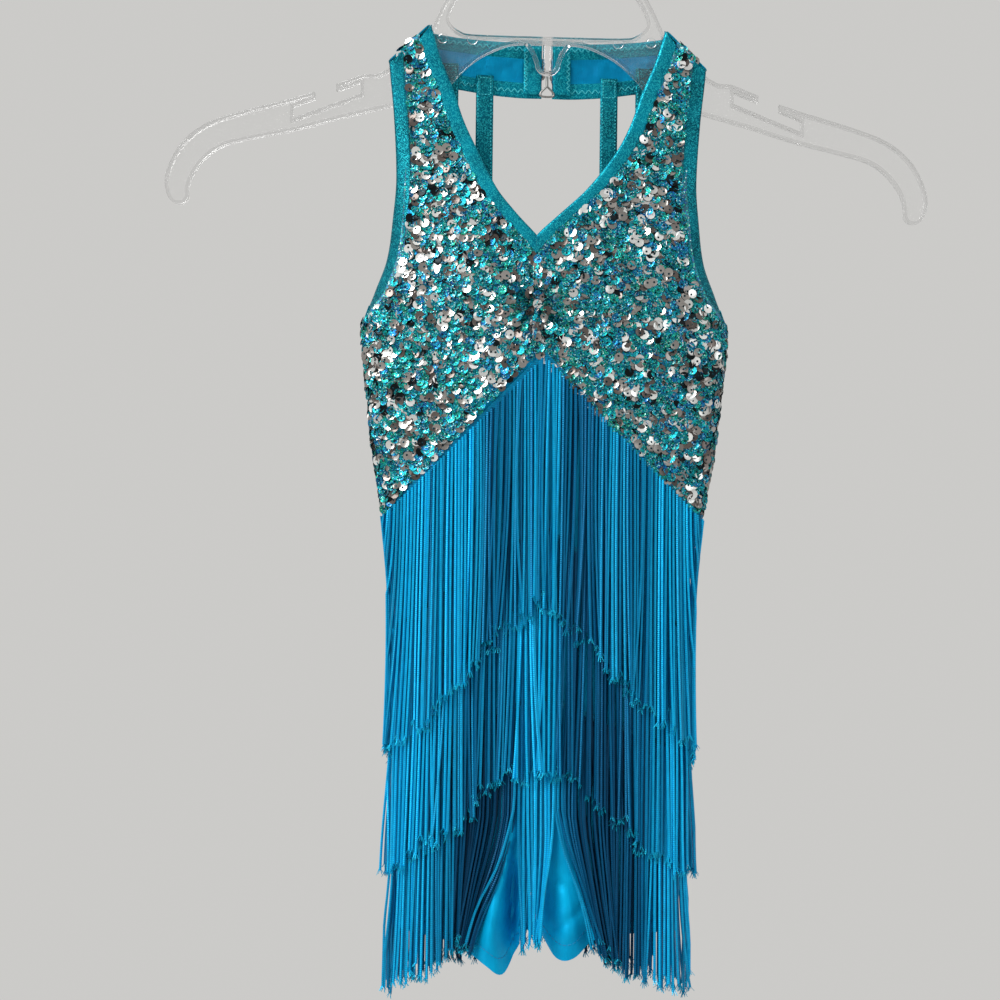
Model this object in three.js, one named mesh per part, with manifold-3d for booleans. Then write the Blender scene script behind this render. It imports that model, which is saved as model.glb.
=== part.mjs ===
// A child's fringe dance costume: a halter-neck unitard with a sequin bodice, three tiers of chainette
// fringe over lycra shorts, hung on a clear plastic hanger. Millimetres, +Z up, the front facing -Y.
// The origin is the seat of the hanger's hook, so the whole costume hangs below it.
import * as THREE from "three";
import { mergeVertices } from "three/addons/utils/BufferGeometryUtils.js";
import Module from "manifold-3d";

const wasm = await Module();
wasm.setup();

// ---- Cloth sizes ----------------------------------------------------------------------------------
const CLOTH = 1.8; // wall of every cloth piece
const SEAM = 0.3; // gap between two pieces that are sewn together
const EDGE_GAP = 0.6; // gap between cloth edges that run at a slant, measured along x or z
const ARMHOLE_GAP = 1; // wider along the armhole binding, which slants more
const BINDING_LIFT = 0.4; // how far a binding stands proud of the cloth beside it
const ARMHOLE_BINDING = 8; // width of the armhole binding
const ARMHOLE_END = 2; // and where it ends at the underarm
const BACK_BINDING = 8; // width of the binding along the back's top edge
const STRAP_WIDTH = 10;
const SECTION_POWER = 0.75; // how full the flattened section is towards the side seams
const LEAN = 0.028; // how much lower the right side hangs for each millimetre outwards, at the hanger
const LEAN_BELOW = 0.014; // the same for the bodice and all below it
const LEAN_CHANGE = { from_z: -160, to_z: -290 }; // where one gives way to the other
const DRIFT = 0.0118; // sideways drift to the left for each millimetre down
// The centre front seam and the gap between the legs lie to the left of the middle.
const SEAM_SHIFT = { by: -5.2, from_z: -190, until_z: -310, gone_z: -400 };
const LEGS_SHIFT = { by: -5, from_z: -480, to_z: -600 };

// The costume's outline and depth from the shoulder to the leg hems. front_edge is how far the front
// panel's outer edge stands in front of the middle plane: the armhole edge lies before the hanger.
const BODY = [
  { z: -110, half_width: 90, front: 6.4, back: 11, front_edge: 5.4 },
  { z: -146, half_width: 89.5, front: 6.6, back: 11, front_edge: 5.4 },
  { z: -180, half_width: 86.3, front: 9, back: 11, front_edge: 6 },
  { z: -214, half_width: 84.6, front: 12, back: 11, front_edge: 6 },
  { z: -233, half_width: 86, front: 14, back: 11, front_edge: 5 },
  { z: -259, half_width: 89.5, front: 16, back: 11, front_edge: 3 },
  { z: -278, half_width: 96.5, front: 17, back: 11, front_edge: 1.2 },
  { z: -296, half_width: 102.5, front: 17.5, back: 11.5, front_edge: 0 },
  { z: -338, half_width: 99, front: 16, back: 12.5, front_edge: 0 },
  { z: -371, half_width: 95.3, front: 13.5, back: 12, front_edge: 0 },
  { z: -400, half_width: 90, front: 12, back: 11.5, front_edge: 0 },
  { z: -450, half_width: 83, front: 11.5, back: 12, front_edge: 0 },
  { z: -528, half_width: 79.5, front: 12, back: 14, front_edge: 0 },
  { z: -596, half_width: 80.5, front: 13, back: 14, front_edge: 0 },
  { z: -670, half_width: 78, front: 12, back: 11, front_edge: 0 },
];

// The neckline: half of the V's opening, and the width of its binding measured along x.
const NECKLINE = [
  { z: -129, half_opening: 65.8, binding: 8 },
  { z: -146, half_opening: 60.5, binding: 9 },
  { z: -163, half_opening: 53.4, binding: 9 },
  { z: -181, half_opening: 47.2, binding: 9 },
  { z: -197, half_opening: 39.4, binding: 9 },
  { z: -219, half_opening: 25.3, binding: 9 },
  { z: -233, half_opening: 12.4, binding: 9 },
  { z: -245.5, half_opening: 0, binding: 9 },
  { z: -257, half_opening: -9, binding: 9 },
  { z: -273, half_opening: -20, binding: 9 },
];
const NECK_POINT_Z = -245.5; // inner point of the V
const BINDING_POINT_Z = -256.5; // point where the binding's outer edges meet
const UNDERARM_Z = -296;
const ARMHOLE_TURN_Z = -276; // where the armhole binding starts to turn round the underarm
const SHOULDER = { neck: { x: 66, z: -129.7 }, arm: { x: 90, z: -151.9 } }; // front shoulder line

const FRONT_APEX_Z = -309; // chevron under the front bodice
const BACK_APEX_Z = -340; // a shallower one under the back bodice
const SIDE_END_Z = -400; // where both chevrons meet the side seams
const BACK_TOP_Z = -285; // top of the back at the side seams
const BACK_TOP_DIP = 12; // how much lower it is at the middle
// The legs part below the crotch, and each leg panel rounds to its inseam there.
const CROTCH = { z: -607, open_z: -647, round_from_z: -595, round_to_z: -613, round: 20, power: 0.5 };
const LEG_GAP = { left: 4, right: 7 }; // from the middle of the gap to each inseam at the hems
const GATHER = { z: -284, reach: 26, height: 1.1, folds: 13 }; // shirring at the centre front

// Leg hems, front and back, from the inseam to the side seam.
const HEMS = {
  left: [
    { x: 0, z: -640 },
    { x: 4, z: -649 },
    { x: 11.5, z: -660 },
    { x: 23, z: -654 },
    { x: 45, z: -643 },
    { x: 82, z: -636 },
  ],
  right: [
    { x: 0, z: -638 },
    { x: 8, z: -650 },
    { x: 18, z: -650 },
    { x: 30, z: -641 },
    { x: 50, z: -637 },
    { x: 82, z: -636 },
  ],
};
// The soft bulges of the shorts' legs between the parted strands.
const LOBE = { x: 18, width: 9, height: 8, from_z: -575, to_z: -645 };

// Collar, one row per section from the front shoulder line over the hanger to the closure at the back:
// the neck edge and the lower edge.
const COLLAR = [
  { neck: [67.2, -5.4, -130.6], low: [90, -5.4, -151.6] },
  { neck: [67.2, -5.3, -127.8], low: [90, -5.3, -149.1] },
  { neck: [67.2, -4.6, -126.9], low: [90, -4.6, -148.2] },
  { neck: [67.2, 0, -126.7], low: [90, 0, -148] },
  { neck: [67.2, 4.6, -126.9], low: [90, 4.6, -148.2] },
  { neck: [67, 5.6, -127.9], low: [89.6, 5.9, -149.3] },
  { neck: [65, 7.6, -129.2], low: [86, 8.4, -153] },
  { neck: [59, 9.6, -129.8], low: [70, 10.6, -157.5] },
  { neck: [48, 10.6, -131], low: [50, 11.4, -160] },
  { neck: [30, 11.2, -132], low: [30, 12.2, -162.5] },
  { neck: [14, 11.5, -132.5], low: [14, 12.5, -163.5] },
  { neck: [3, 11.6, -132.5], low: [3, 12.6, -163.5] },
];
// Back straps: top_y is the outer face of a strap where it is sewn to the collar's inner side.
const STRAPS = [
  { name: "outer", x: 55.5, top_z: -146, top_y: 8.1 },
  { name: "inner", x: 35.5, top_z: -152, top_y: 9.3 },
];
const STRAP_END_Z = -290; // where the straps meet the back, just above its binding
const TAB = { inner: 3.4, outer: 13.5, top: -136, bottom: -162, thickness: 1.4 }; // closure tabs
const CLOSURE_HOOK = { wire: 1.2, width: 8, foot: 9, top: -151, neck: -158, bottom: -163.5, behind: 1.2 };

// ---- Fringe sizes ---------------------------------------------------------------------------------
const STRAND_WIDTH = 2.8;
const STRAND_DEPTH = 1.7;
const HEADER_HEIGHT = 4; // strip that the strands hang from
const HEADER_START = 0.5; // its upper edge below the line it is sewn along
const HEADER_LIFT = 0.35; // gap between the strip and the cloth
const HEADER_DEPTH = 2.2;
const STRAND_LIFT = 1.5; // a strand's middle above the cloth at its root
const STRAND_SPREAD = 0.0356; // how much further off it hangs for each millimetre down
const STRAND_STEPS = 2;
const PARTED_STEPS = 4;
const SIDE_STRAND_TURN = 84; // turn of the outermost strand
const SECTION_STEPS = 200; // for measuring along the flattened section
const TURN = { limit: 0.998, step: 0.02 }; // for the frame on the cloth near the side seams

// Tiers: where each is sewn on at the middle and at the side seams, its mean length and strand count.
const TIERS = [
  { name: "fringe_top", middle_z: -310, side_z: -401, length: 137, front: 46, back: 30 },
  { name: "fringe_middle", middle_z: -406, side_z: -465, length: 137, front: 42, back: 30 },
  { name: "fringe_bottom", middle_z: -502, side_z: -532, length: 135, front: 42, back: 30 },
];
const BACK_DROP = 31; // the back's top tier is sewn on lower at the middle by this much
const LENGTH_VARIATION = 5; // a strand's length varies by up to this much each way
const SWAY = 2.2; // and its end moves sideways by up to this much
const BACK_SEED = 50.5; // strand numbers of the back's tiers start here
const TIER_SEED = 100; // and each tier's this much further on
const SWAY_SEED = 0.37;

// Places where a tier's front strands hang longer or shorter.
const LONGER = [
  { tier: "fringe_top", x: -68, reach: 12, by: 7 },
  { tier: "fringe_middle", x: -27, reach: 13, by: -11 },
  { tier: "fringe_middle", x: 23, reach: 13, by: -11 },
  { tier: "fringe_bottom", x: -42, reach: 16, by: -12 },
];
// The bottom tier's front strands part round the legs: those in the middle stay there, the others
// end beyond the legs' outer edges, closer together.
const PARTED = { left: -11.3, right: 7.3, left_end: -34.5, right_end: 31, spread: 0.35 };
const MIDDLE_STRANDS = { spread: 0.9, shift: -0.5 };
const PARTING = { from: 0.42, over: 0.55, most: 1.1, power: 1.25 }; // shares of a strand's length

// ---- Hanger sizes ---------------------------------------------------------------------------------
const WEB = 1.8; // thin wall of the moulding
const RIB_DEPTH = 6; // depth of the ribs along its edges
const RIB = 1.5; // and their width
// Outline of one half: the lower edge from the middle to the tip, then the upper edge back to the neck.
const HANGER_LOWER = [
  { x: 0, z: -135.5 },
  { x: 17, z: -135.6 },
  { x: 28, z: -138.5 },
  { x: 40, z: -145 },
  { x: 50, z: -154 },
  { x: 57, z: -161.5 },
  { x: 70, z: -168.5 },
  { x: 90, z: -173.5 },
  { x: 115, z: -180 },
  { x: 141, z: -187.5 },
  { x: 165, z: -193 },
  { x: 182, z: -197.5 },
  { x: 192, z: -204 },
  { x: 199, z: -212.5 },
  { x: 202.5, z: -221 },
  { x: 203, z: -228 },
];
const HANGER_UPPER = [
  { x: 205.5, z: -231.2 },
  { x: 211, z: -231 },
  { x: 214.5, z: -227 },
  { x: 216, z: -219.5 },
  { x: 213.8, z: -209.5 },
  { x: 206, z: -196 },
  { x: 192, z: -185.2 },
  { x: 172, z: -178 },
  { x: 145, z: -170.5 },
  { x: 131.6, z: -166.5 },
  { x: 119.8, z: -161.5 },
  { x: 104.6, z: -155.8 },
  { x: 91.5, z: -152.8 },
  { x: 66, z: -128.9 },
  { x: 58, z: -112 },
  { x: 46, z: -93 },
  { x: 30, z: -78 },
  { x: 12, z: -69 },
  { x: 4, z: -62 },
  { x: 4, z: -58 },
];
const WINDOW = [
  { x: 0, z: -131.6 },
  { x: 41, z: -131.4 },
  { x: 50, z: -129.6 },
  { x: 55.5, z: -125 },
  { x: 56, z: -120 },
  { x: 51, z: -110 },
  { x: 41, z: -97 },
  { x: 27, z: -84.5 },
  { x: 10, z: -76 },
  { x: 0, z: -74 },
];
// Notch that holds a strap: its mouth between two lips, and the wider slot below them. The arm's upper
// edge is at edge_z over the mouth's start and falls by the slope.
const NOTCH = { mouth_from: 119.5, mouth_to: 131.5, slot_from: 105.5, slot_to: 144, lip: 3.8, slot: 6.6 };
const NOTCH_EDGE = { z: -161.5, slope: -0.39, clear: 4, floor_reach: 4 };
const CENTRE_LOOP = { half_top: 12.5, top_z: -134.5, half_side: 8.6, side_z: -139.5, radius: 6, z: -146 };
const CENTRE_BAR = { width: 2.4, depth: 5, stem: 5.4, stem_top_z: -133.5, stem_foot_z: -150 };
const HOOK_RADIUS = 20; // inside
const HOOK_WIRE = 6;
const HOOK_ROUTE = [
  { x: 0, z: -60 },
  { x: 1, z: -52 },
  { x: 9, z: -44.5 },
];
const HOOK_ARC = { from: -50, to: 205 }; // degrees, from its lower right round over the top
const ARC_STEP = 12; // degrees between points of the hook's arc
const FOOT_STEP = 36; // and of the centre loop's
const SHARPEST = 0.5; // limits how far a corner moves when an outline is moved inwards

// ---- How finely each piece is divided -------------------------------------------------------------
const ARM_STEPS = 11;
const SIDE_STEPS = 8;
const BODICE_COLUMNS = 9;
const BAND = { rows: 14, columns: 2 };
const BACK_BODICE = { rows: 6, columns: 18 };
const BACK_BAND = { rows: 2, columns: 18 };
const COLLAR_COLUMNS = 3;
const STRAP_ROWS = 6;
const SHORTS = { rows: 12, columns: 7 };

// ---- Colours --------------------------------------------------------------------------------------
const material = (color, roughness, metalness = 0, opacity = 1) =>
  new THREE.MeshStandardMaterial({ color, roughness, metalness, opacity, transparent: opacity < 1 });
const SEQUIN_CLOTH = material(0x4e9fa8, 0.35, 0.3);
const FOIL_BINDING = material(0x0391a5, 0.4, 0.2);
const LYCRA = material(0x00aadc, 0.45);
const YARN = material(0x0096be, 0.6);
const CLEAR_PLASTIC = material(0xdfe3e4, 0.1, 0, 0.35);
const STEEL_WIRE = material(0x9a9a98, 0.3, 0.9);

const group = new THREE.Group();
const faces = { front: -1, back: 1 };
const sides = { left: -1, right: 1 };

// ---- Helpers --------------------------------------------------------------------------------------
const mix = THREE.MathUtils.lerp;
const clamp = THREE.MathUtils.clamp;
const radians = THREE.MathUtils.degToRad;
const ramp = (value, from, to) => THREE.MathUtils.smoothstep((value - from) / (to - from), 0, 1);
const steps = (count) => Array.from({ length: count + 1 }, (_, i) => i / count);

// A repeatable number between -1 and 1 for strand number n.
const uneven = (n) => 2 * ((Math.abs(Math.sin(n * 12.9898 + 4.1) * 43758.5453) % 1) - 0.5);

// A smooth curve through one column of a table, read by another column.
function column(rows, key, value) {
  const sorted = [...rows].sort((a, b) => a[key] - b[key]);
  const keys = sorted.map((row) => row[key]);
  const values = sorted.map((row) => row[value]);
  const last = keys.length - 1;
  const slopes = keys.map((_, i) => {
    const before = Math.max(i - 1, 0);
    const after = Math.min(i + 1, last);
    return (values[after] - values[before]) / (keys[after] - keys[before]);
  });
  return (at) => {
    const place = clamp(at, keys[0], keys[last]);
    let i = 0;
    while (i < last - 1 && keys[i + 1] < place) i += 1;
    const span = keys[i + 1] - keys[i];
    const t = (place - keys[i]) / span;
    const rise = values[i + 1] - values[i];
    const out = slopes[i] * span - rise;
    const into = -slopes[i + 1] * span + rise;
    return mix(values[i], values[i + 1], t) + t * (1 - t) * (out * (1 - t) + into * t);
  };
}

const halfWidth = column(BODY, "z", "half_width");
const depths = { front: column(BODY, "z", "front"), back: column(BODY, "z", "back") };
const frontEdge = column(BODY, "z", "front_edge");
const neckOpening = column(NECKLINE, "z", "half_opening");
const neckBinding = column(NECKLINE, "z", "binding");
const hemHeights = { left: column(HEMS.left, "x", "z"), right: column(HEMS.right, "x", "z") };

// Sideways shift of the gap between the legs, and of the centre front seam above it, at a height.
const legsShift = (z) => LEGS_SHIFT.by * ramp(z, LEGS_SHIFT.from_z, LEGS_SHIFT.to_z);
function seamShift(z) {
  const { by, from_z, until_z, gone_z } = SEAM_SHIFT;
  return by * ramp(z, from_z, NECK_POINT_Z) * (1 - ramp(z, until_z, gone_z)) + legsShift(z);
}

// Soft bulge of each leg at the front.
function lobe(x, z) {
  const off = (Math.abs(x - seamShift(z)) - LOBE.x) / LOBE.width;
  return LOBE.height * Math.exp(-off * off) * ramp(z, LOBE.from_z, LOBE.to_z);
}

// Distance of the cloth's outer face from the middle plane.
function skinDepth(x, z, face) {
  const share = clamp(Math.abs(x) / halfWidth(z), 0, 1);
  const full = (1 - share * share) ** (SECTION_POWER / 2);
  if (face === "back") return depths.back(z) * full;
  const edge = frontEdge(z);
  return edge + (depths.front(z) - edge) * full + lobe(x, z) * full;
}

// A point of the cloth's outer face, kept off the side seam by half of the seam's gap.
function skin(x, z, face) {
  return new THREE.Vector3(x, faces[face] * Math.max(skinDepth(x, z, face), SEAM / 2), z);
}

// Hangs a finished geometry as the costume hangs: the right side lower, the hem drifting left.
function lean(geometry, slopeBelow) {
  const p = geometry.attributes.position;
  for (let i = 0; i < p.count; i += 1) {
    const [x, z] = [p.getX(i), p.getZ(i)];
    const slope = mix(LEAN, slopeBelow, ramp(z, LEAN_CHANGE.from_z, LEAN_CHANGE.to_z));
    p.setX(i, x + DRIFT * z);
    p.setZ(i, z - slope * x);
  }
  return geometry;
}

function addPiece(name, geometry, finish, slopeBelow = LEAN_BELOW) {
  const mesh = new THREE.Mesh(lean(geometry, slopeBelow), finish);
  mesh.name = name;
  group.add(mesh);
}

function signedVolume(positions, index) {
  const [a, b, c] = [new THREE.Vector3(), new THREE.Vector3(), new THREE.Vector3()];
  let volume = 0;
  for (let i = 0; i < index.length; i += 3) {
    a.fromArray(positions, 3 * index[i]);
    b.fromArray(positions, 3 * index[i + 1]);
    c.fromArray(positions, 3 * index[i + 2]);
    volume += a.dot(b.cross(c)) / 6;
  }
  return volume;
}

function geometryOf(points, index) {
  const positions = points.flatMap((p) => [p.x, p.y, p.z]);
  if (signedVolume(positions, index) < 0) index.reverse();
  const geometry = new THREE.BufferGeometry();
  geometry.setAttribute("position", new THREE.Float32BufferAttribute(positions, 3));
  geometry.setIndex(index);
  return geometry;
}

// A closed wall between two grids of points of the same size.
function wall(outer, inner) {
  const rows = outer.length;
  const columns = outer[0].length;
  const points = [...outer.flat(), ...inner.flat()];
  const last = columns - 1;
  const at = (layer, i, j) => layer * rows * columns + i * columns + j;
  const index = [];
  const quad = (a, b, c, d) => index.push(a, b, c, a, c, d);
  for (let i = 0; i < rows - 1; i += 1) {
    for (let j = 0; j < last; j += 1) {
      quad(at(0, i, j), at(0, i, j + 1), at(0, i + 1, j + 1), at(0, i + 1, j));
      quad(at(1, i, j), at(1, i + 1, j), at(1, i + 1, j + 1), at(1, i, j + 1));
    }
    quad(at(0, i, 0), at(0, i + 1, 0), at(1, i + 1, 0), at(1, i, 0));
    quad(at(0, i + 1, last), at(0, i, last), at(1, i, last), at(1, i + 1, last));
  }
  for (let j = 0; j < last; j += 1) {
    quad(at(0, 0, j + 1), at(0, 0, j), at(1, 0, j), at(1, 0, j + 1));
    quad(at(0, rows - 1, j), at(0, rows - 1, j + 1), at(1, rows - 1, j + 1), at(1, rows - 1, j));
  }
  return geometryOf(points, index);
}

// Unit normals of a grid, all turned to the side that faces outward.
function gridNormals(grid, outward) {
  const mean = new THREE.Vector3();
  const normals = grid.map((row, i) =>
    row.map((_, j) => {
      const down = grid[Math.min(i + 1, grid.length - 1)][j].clone();
      down.sub(grid[Math.max(i - 1, 0)][j]);
      const across = row[Math.min(j + 1, row.length - 1)].clone().sub(row[Math.max(j - 1, 0)]);
      const normal = down.cross(across).normalize();
      mean.add(normal);
      return normal;
    }),
  );
  const sign = Math.sign(mean.dot(outward)) || 1;
  return normals.map((row) => row.map((normal) => normal.multiplyScalar(sign)));
}

// A cloth wall whose outer face is the grid, and whose inner face lies one thickness inside it.
function cloth(grid, outward, { thickness = CLOTH, lift = 0, relief = () => 0, keep = (p) => p } = {}) {
  const normals = gridNormals(grid, outward);
  const moved = (amount) =>
    grid.map((row, i) => row.map((p, j) => keep(p.clone().addScaledVector(normals[i][j], amount(p)))));
  return wall(
    moved((p) => lift + relief(p)),
    moved(() => lift - thickness),
  );
}

const outwards = { front: new THREE.Vector3(0, -1, 0), back: new THREE.Vector3(0, 1, 0) };

// Keeps a point of the front or the back on its own side of the side seams.
const ownSide = {
  front: (p) => p.setY(Math.min(p.y, -SEAM / 2)),
  back: (p) => p.setY(Math.max(p.y, SEAM / 2)),
};

// A cloth wall of the front or the back of the costume.
const panel = (face, grid, options) => cloth(grid, outwards[face], { keep: ownSide[face], ...options });

function solid(geometry) {
  const bare = mergeVertices(geometry, 1e-4);
  return new wasm.Manifold(
    new wasm.Mesh({
      numProp: 3,
      vertProperties: new Float32Array(bare.attributes.position.array),
      triVerts: new Uint32Array(bare.index.array),
    }),
  );
}

function geometryFrom(body) {
  const mesh = body.getMesh();
  const geometry = new THREE.BufferGeometry();
  geometry.setAttribute("position", new THREE.BufferAttribute(mesh.vertProperties, 3));
  geometry.setIndex(new THREE.BufferAttribute(mesh.triVerts, 1));
  return geometry;
}

// ---- Bodice ---------------------------------------------------------------------------------------
// Edge of the neck binding, or of the centre front seam below it, on one side.
function neckEdge(z, side, withBinding) {
  const open = neckOpening(z) + (withBinding ? neckBinding(z) + EDGE_GAP : 0);
  return seamShift(z) + sides[side] * Math.max(open, SEAM / 2);
}

// Width of the armhole binding, which narrows where it turns round the underarm.
function armholeWidth(z) {
  return z < UNDERARM_Z ? 0 : mix(ARMHOLE_BINDING, ARMHOLE_END, ramp(z, ARMHOLE_TURN_Z, UNDERARM_Z));
}

// Armhole or side edge of the bodice: inside the armhole binding down to the underarm.
function armEdge(z, side) {
  const gap = z < UNDERARM_Z ? 0 : ARMHOLE_GAP;
  return sides[side] * (halfWidth(z) - armholeWidth(z) - gap);
}

// Height of the front's top edge at a distance from the middle.
const shoulderZ = (x) => {
  const { neck, arm } = SHOULDER;
  return mix(neck.z, arm.z, (x - neck.x) / (arm.x - neck.x)) - EDGE_GAP;
};

// Heights along the bodice's outer edge: down the armhole binding, then down the side seam.
const ARM_TOP_Z = shoulderZ(SHOULDER.arm.x - ARMHOLE_BINDING);
const ARM_END_Z = UNDERARM_Z + 1;
const SIDE_START_Z = UNDERARM_Z - 3;
const ARM_ROWS = steps(ARM_STEPS).map((t) => mix(ARM_TOP_Z, ARM_END_Z, t));
const OUTER_ROWS = [...ARM_ROWS, ...steps(SIDE_STEPS).map((t) => mix(SIDE_START_Z, SIDE_END_Z, t))];
const NECK_TOP_Z = shoulderZ(SHOULDER.neck.x + NECKLINE[0].binding);

// Rows run from the inner edge to the outer edge, and tilt from the shoulder line to the chevron.
function frontBodice(side) {
  const grid = OUTER_ROWS.map((toZ, i) => {
    const fromZ = mix(NECK_TOP_Z, FRONT_APEX_Z, i / (OUTER_ROWS.length - 1));
    const from = neckEdge(fromZ, side, true);
    const to = armEdge(toZ, side);
    return steps(BODICE_COLUMNS).map((c) => {
      const share = Math.sin((c * Math.PI) / 2);
      return skin(mix(from, to, share), mix(fromZ, toZ, share), "front");
    });
  });
  const gather = (p) => {
    const [dx, dz] = [p.x - seamShift(p.z), p.z - GATHER.z];
    const fading = Math.exp(-Math.hypot(dx, dz) / GATHER.reach);
    return GATHER.height * Math.sin(GATHER.folds * Math.atan2(dx, dz)) * fading;
  };
  return panel("front", grid, { relief: gather });
}

function neckBand(side) {
  const grid = steps(BAND.rows).map((t) => {
    const innerZ = mix(SHOULDER.neck.z, NECK_POINT_Z, t);
    const outerZ = mix(NECK_TOP_Z, BINDING_POINT_Z, t);
    const inner = neckEdge(innerZ, side, false);
    const outerOpen = neckOpening(outerZ) + neckBinding(outerZ);
    const outer = seamShift(outerZ) + sides[side] * Math.max(outerOpen, SEAM / 2);
    return steps(BAND.columns).map((c) => skin(mix(inner, outer, c), mix(innerZ, outerZ, c), "front"));
  });
  return panel("front", grid, { lift: BINDING_LIFT });
}

function armholeBand(side) {
  const grid = ARM_ROWS.map((innerZ, i) => {
    const z = mix(SHOULDER.arm.z, ARM_END_Z, i / ARM_STEPS);
    const outer = sides[side] * halfWidth(z);
    const inner = sides[side] * (halfWidth(innerZ) - armholeWidth(innerZ));
    return steps(BAND.columns).map((c) => skin(mix(outer, inner, c), mix(z, innerZ, c), "front"));
  });
  return panel("front", grid, { lift: BINDING_LIFT });
}

// Heights of the back's top edge and of the line where the sequin cloth ends, at a share of the width.
const backTop = (share) => BACK_TOP_Z - BACK_TOP_DIP * (1 - share * share);
const chevron = (share, apexZ) => mix(apexZ, SIDE_END_Z, Math.abs(share));

// A panel of the back from one side seam to the other, between two heights given as functions.
function backPanel(topAt, bottomAt, { rows, columns }, options) {
  const grid = steps(rows).map((t) =>
    steps(columns).map((c) => {
      const share = Math.sin(mix(-Math.PI / 2, Math.PI / 2, c));
      const z = mix(topAt(share), bottomAt(share), t);
      return skin(share * halfWidth(mix(topAt(1), bottomAt(1), t)), z, "back");
    }),
  );
  return panel("back", grid, options);
}

for (const side of Object.keys(sides)) {
  addPiece("front_bodice_" + side, frontBodice(side), SEQUIN_CLOTH);
  addPiece("neck_binding_" + side, neckBand(side), FOIL_BINDING);
  addPiece("armhole_binding_" + side, armholeBand(side), FOIL_BINDING);
}
const bindingEnd = (share) => backTop(share) - BACK_BINDING;
const backBodice = backPanel((s) => bindingEnd(s) - EDGE_GAP, (s) => chevron(s, BACK_APEX_Z), BACK_BODICE);
addPiece("back_bodice", backBodice, SEQUIN_CLOTH);
addPiece("back_binding", backPanel(backTop, bindingEnd, BACK_BAND, { lift: BINDING_LIFT }), FOIL_BINDING);

// ---- Collar, straps and closure -------------------------------------------------------------------
function collar(side) {
  const corner = ([x, y, z]) => new THREE.Vector3(sides[side] * x, y, z);
  const grid = COLLAR.map((row) => {
    const [neck, low] = [corner(row.neck), corner(row.low)];
    return steps(COLLAR_COLUMNS).map((c) => neck.clone().lerp(low, c));
  });
  return cloth(grid, new THREE.Vector3(0, 1, 1));
}

// A strap hangs straight from the collar's inner face to the back's binding.
function strap(x, topZ, topY) {
  const endDepth = skinDepth(x, STRAP_END_Z, "back") - CLOTH - SEAM;
  const grid = steps(STRAP_ROWS).map((t) => {
    const z = mix(topZ, STRAP_END_Z, t);
    const y = mix(topY, endDepth, t);
    return [-STRAP_WIDTH / 2, STRAP_WIDTH / 2].map((off) => new THREE.Vector3(x + off, y, z));
  });
  return cloth(grid, outwards.back);
}

function closureTab(side) {
  const y = COLLAR.at(-1).neck[1] - CLOTH - SEAM;
  const grid = [TAB.top, TAB.bottom].map((z) =>
    [TAB.inner, TAB.outer].map((x) => new THREE.Vector3(sides[side] * x, y, z)),
  );
  return cloth(grid, outwards.back, { thickness: TAB.thickness });
}

for (const side of Object.keys(sides)) {
  addPiece("collar_" + side, collar(side), LYCRA);
  addPiece("closure_tab_" + side, closureTab(side), FOIL_BINDING);
  for (const { name, x, top_z, top_y } of STRAPS) {
    addPiece(["strap", name, side].join("_"), strap(sides[side] * x, top_z, top_y), FOIL_BINDING);
  }
}

// ---- Shorts ---------------------------------------------------------------------------------------
// Quarter of the lycra body under the fringe, from the chevron to a leg hem.
function shortsPanel(face, side) {
  const apexZ = face === "front" ? FRONT_APEX_Z : BACK_APEX_Z;
  const sign = sides[side];
  const hem = HEMS[side].at(-1);
  const grid = steps(SHORTS.rows).map((t) =>
    steps(SHORTS.columns).map((c) => {
      const share = Math.sin((c * Math.PI) / 2);
      const topZ = chevron(share, apexZ) - EDGE_GAP;
      const z = mix(topZ, hemHeights[side](share * BODY.at(-1).half_width), t);
      const open = Math.max(SEAM / 2, LEG_GAP[side] * ramp(z, CROTCH.z, CROTCH.open_z));
      const shift = (face === "front" ? seamShift : legsShift)(mix(apexZ, hem.z, t));
      const inseam = sign * open + shift;
      const x = mix(inseam, sign * halfWidth(mix(SIDE_END_Z, hem.z, t)), share);
      const rounded = clamp(Math.abs(x - inseam) / CROTCH.round, 0, 1) ** CROTCH.power;
      const p = skin(x, z, face);
      p.y *= mix(1, rounded, ramp(z, CROTCH.round_from_z, CROTCH.round_to_z));
      return ownSide[face](p);
    }),
  );
  return panel(face, grid);
}

for (const face of Object.keys(faces)) {
  for (const side of Object.keys(sides)) {
    addPiece(["shorts", face, side].join("_"), shortsPanel(face, side), LYCRA);
  }
}

// ---- Fringe ---------------------------------------------------------------------------------------
// Frame on the cloth's outer face: the point, the way out of the cloth and the way round it.
function frameAt(x, z, face) {
  const half = halfWidth(z);
  const turn = Math.asin(clamp(x / half, -TURN.limit, TURN.limit));
  const pointAt = (angle) => {
    const px = half * Math.sin(angle);
    return new THREE.Vector3(px, faces[face] * skinDepth(px, z, face), z);
  };
  const point = pointAt(turn);
  const round = pointAt(turn + TURN.step).sub(pointAt(turn - TURN.step)).normalize();
  const out = new THREE.Vector3(0, 0, 1).cross(round);
  if (out.y * faces[face] < 0) out.negate();
  return { point, out, round };
}

function tierLine(tier, face, share) {
  const drop = face === "back" && tier === TIERS[0] ? BACK_DROP : 0;
  return mix(tier.middle_z - drop, tier.side_z, Math.abs(share));
}

// Where a strand of the bottom tier's front ends, from where it is sewn on.
function partedX(x) {
  if (x <= PARTED.left) return Math.min(x, PARTED.left_end + (x - PARTED.left) * PARTED.spread);
  if (x >= PARTED.right) return Math.max(x, PARTED.right_end + (x - PARTED.right) * PARTED.spread);
  return x * MIDDLE_STRANDS.spread + MIDDLE_STRANDS.shift;
}

// How much longer a tier's front strand at x hangs.
function longer(tier, x) {
  const hills = LONGER.filter((hill) => hill.tier === tier.name);
  return hills.reduce((sum, hill) => sum + hill.by * Math.exp(-(((x - hill.x) / hill.reach) ** 2)), 0);
}

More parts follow.
